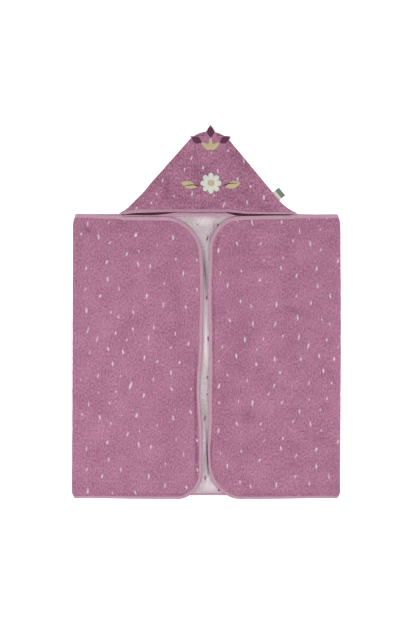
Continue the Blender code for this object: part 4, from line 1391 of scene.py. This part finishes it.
daisy = laid_piece("daisy_felt_petals", petal_outline, DAISY_MIDDLE, hood_top, APPLIQUE_LIFT,
                   FELT * 1.3, cream_felt, petal_relief)
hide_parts("daisy_petals")
heart_outline = [around(DAISY_MIDDLE, -360 * step / HEART_STEPS, DAISY_HEART_RADIUS)
                 for step in range(HEART_STEPS)]
heart = laid_piece("daisy_felt_heart", heart_outline, DAISY_MIDDLE, hood_top,
                   APPLIQUE_LIFT + FELT + GAP, FELT * 1.2, beige_felt)
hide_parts("daisy_heart")


# The two leaves beside the daisy
# Pointed leaves of beige felt with satin-stitched edges, each with a curved midrib and stem in
# nearly black satin stitch that runs on towards the daisy.
MOTIF_LEAF_LENGTH, MOTIF_LEAF_WIDTH = 0.0420, 0.0190
MOTIF_LEAF_OUT, MOTIF_LEAF_DROP, MOTIF_LEAF_TURN = 0.0540, 0.0040, 17
STEM_BOW = 0.0030
STEM_WIDTH, STEM_HEIGHT = 0.0022, 0.0007
STEM_INTO_LEAF, STEM_FROM_DAISY, STEM_DROP = 0.012, 0.002, 0.0070

ink_thread = thread("ink_thread", dyed(34, 26, 32))
motif_pieces = [daisy, heart]
for side, word in ((-1, "left"), (1, "right")):
    middle = DAISY_MIDDLE + Vector((side * MOTIF_LEAF_OUT, -MOTIF_LEAF_DROP))
    turn = 90 - side * MOTIF_LEAF_TURN
    leaf = laid_piece(f"motif_felt_leaf_{word}",
                      leaf_outline(middle, MOTIF_LEAF_LENGTH, MOTIF_LEAF_WIDTH, turn), middle,
                      hood_top, APPLIQUE_LIFT, FELT * 1.2, beige_felt,
                      leaf_relief(middle, turn))
    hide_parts(f"motif_leaf_{word}")
    outer = middle + side * STEM_INTO_LEAF * Vector((1, math.sin(math.radians(MOTIF_LEAF_TURN))))
    inner = DAISY_MIDDLE + Vector((side * (DAISY_RADIUS + STEM_FROM_DAISY), -STEM_DROP))

    def stem_path(share, outer=outer, inner=inner):
        along = (inner - outer).normalized()
        beside = Vector((along.y, -along.x))
        point = outer.lerp(inner, share) + beside * (side * STEM_BOW * math.sin(math.pi * share))
        return point, beside

    def leaf_top(x, y):
        return hood_top(x, y) + APPLIQUE_LIFT + FELT

    stem = satin_line(f"motif_stem_{word}", stem_path, leaf_top, STEM_WIDTH, STEM_HEIGHT,
                      ink_thread)
    motif_pieces += [leaf, stem]


# The label in the hood's right-hand seam
# A woven ribbon folded over at its outer end, cream by the seam and sage green past it, with no
# mark. Both its ends are caught in the seam.
LABEL_Y = 0.2832
LABEL_WIDTH, LABEL_REACH = 0.0250, 0.0185
LABEL_WALL, LABEL_LOOP = 0.0004, 0.0005
LABEL_SEAM_LEVEL = 0.0021
LABEL_CREAM = 0.0070
LABEL_STEPS = 16

label_middle = Vector((hood_side(1, LABEL_Y), LABEL_Y))
label_along = Vector((math.sin(LEANS[1]), -math.cos(LEANS[1])))
label_outward = Vector((math.cos(LEANS[1]), math.sin(LEANS[1])))
label_low = LABEL_WALL / 2 + 0.0002
label_high = label_low + 2 * LABEL_LOOP
label_top = [(LABEL_WALL, LABEL_SEAM_LEVEL), (0.003, LABEL_SEAM_LEVEL - 0.0002),
             (0.006, label_high + 0.0003), (0.009, label_high + 0.0001),
             (0.014, label_high)]
label_bend = [(LABEL_REACH + LABEL_LOOP * math.sin(turn),
               label_low + LABEL_LOOP * (1 + math.cos(turn)))
              for turn in (math.radians(22.5 * step) for step in range(9))]
label_under = [(0.014, label_low), (0.009, label_low), (0.004, label_low), (LABEL_WALL, label_low)]

ribbon, places = ruled_grid([share - 0.5 for share in shares(LABEL_STEPS)],
                            label_top + label_bend + label_under)


def on_ribbon(vert):
    share, (out, _) = places[vert]
    return out, share * LABEL_WIDTH


map_corners(ribbon, "Ribbon", on_ribbon)
for vert, (share, (out, height)) in places.items():
    point = label_middle + label_along * (share * LABEL_WIDTH) + label_outward * out
    vert.co = (*point, height)

label_weave = Finish("label_weave", roughness=0.55, sheen_weight=0.2)
out, across = label_weave.parts(label_weave.uv("Ribbon"))
ribs = out.wave(0.0007) * 0.5 + 0.5
picks = across.wave(0.0005) * 0.5 + 0.5
green = label_weave.mix(ribs * 0.5 + picks * 0.3, dyed(98, 118, 108), dyed(138, 156, 146))
cream = label_weave.mix(ribs * 0.5 + picks * 0.3, dyed(212, 208, 186), dyed(236, 232, 214))
label_weave.dress(label_weave.mix(out.between(LABEL_CREAM, LABEL_CREAM + 0.0004), cream, green),
                  ribs * 0.7 + picks * 0.3, 0.0002, 0.8)
label = as_object("seam_label", ribbon, [label_weave.material])
give_wall(label, LABEL_WALL)
in_towel(label)
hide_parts("side_label")
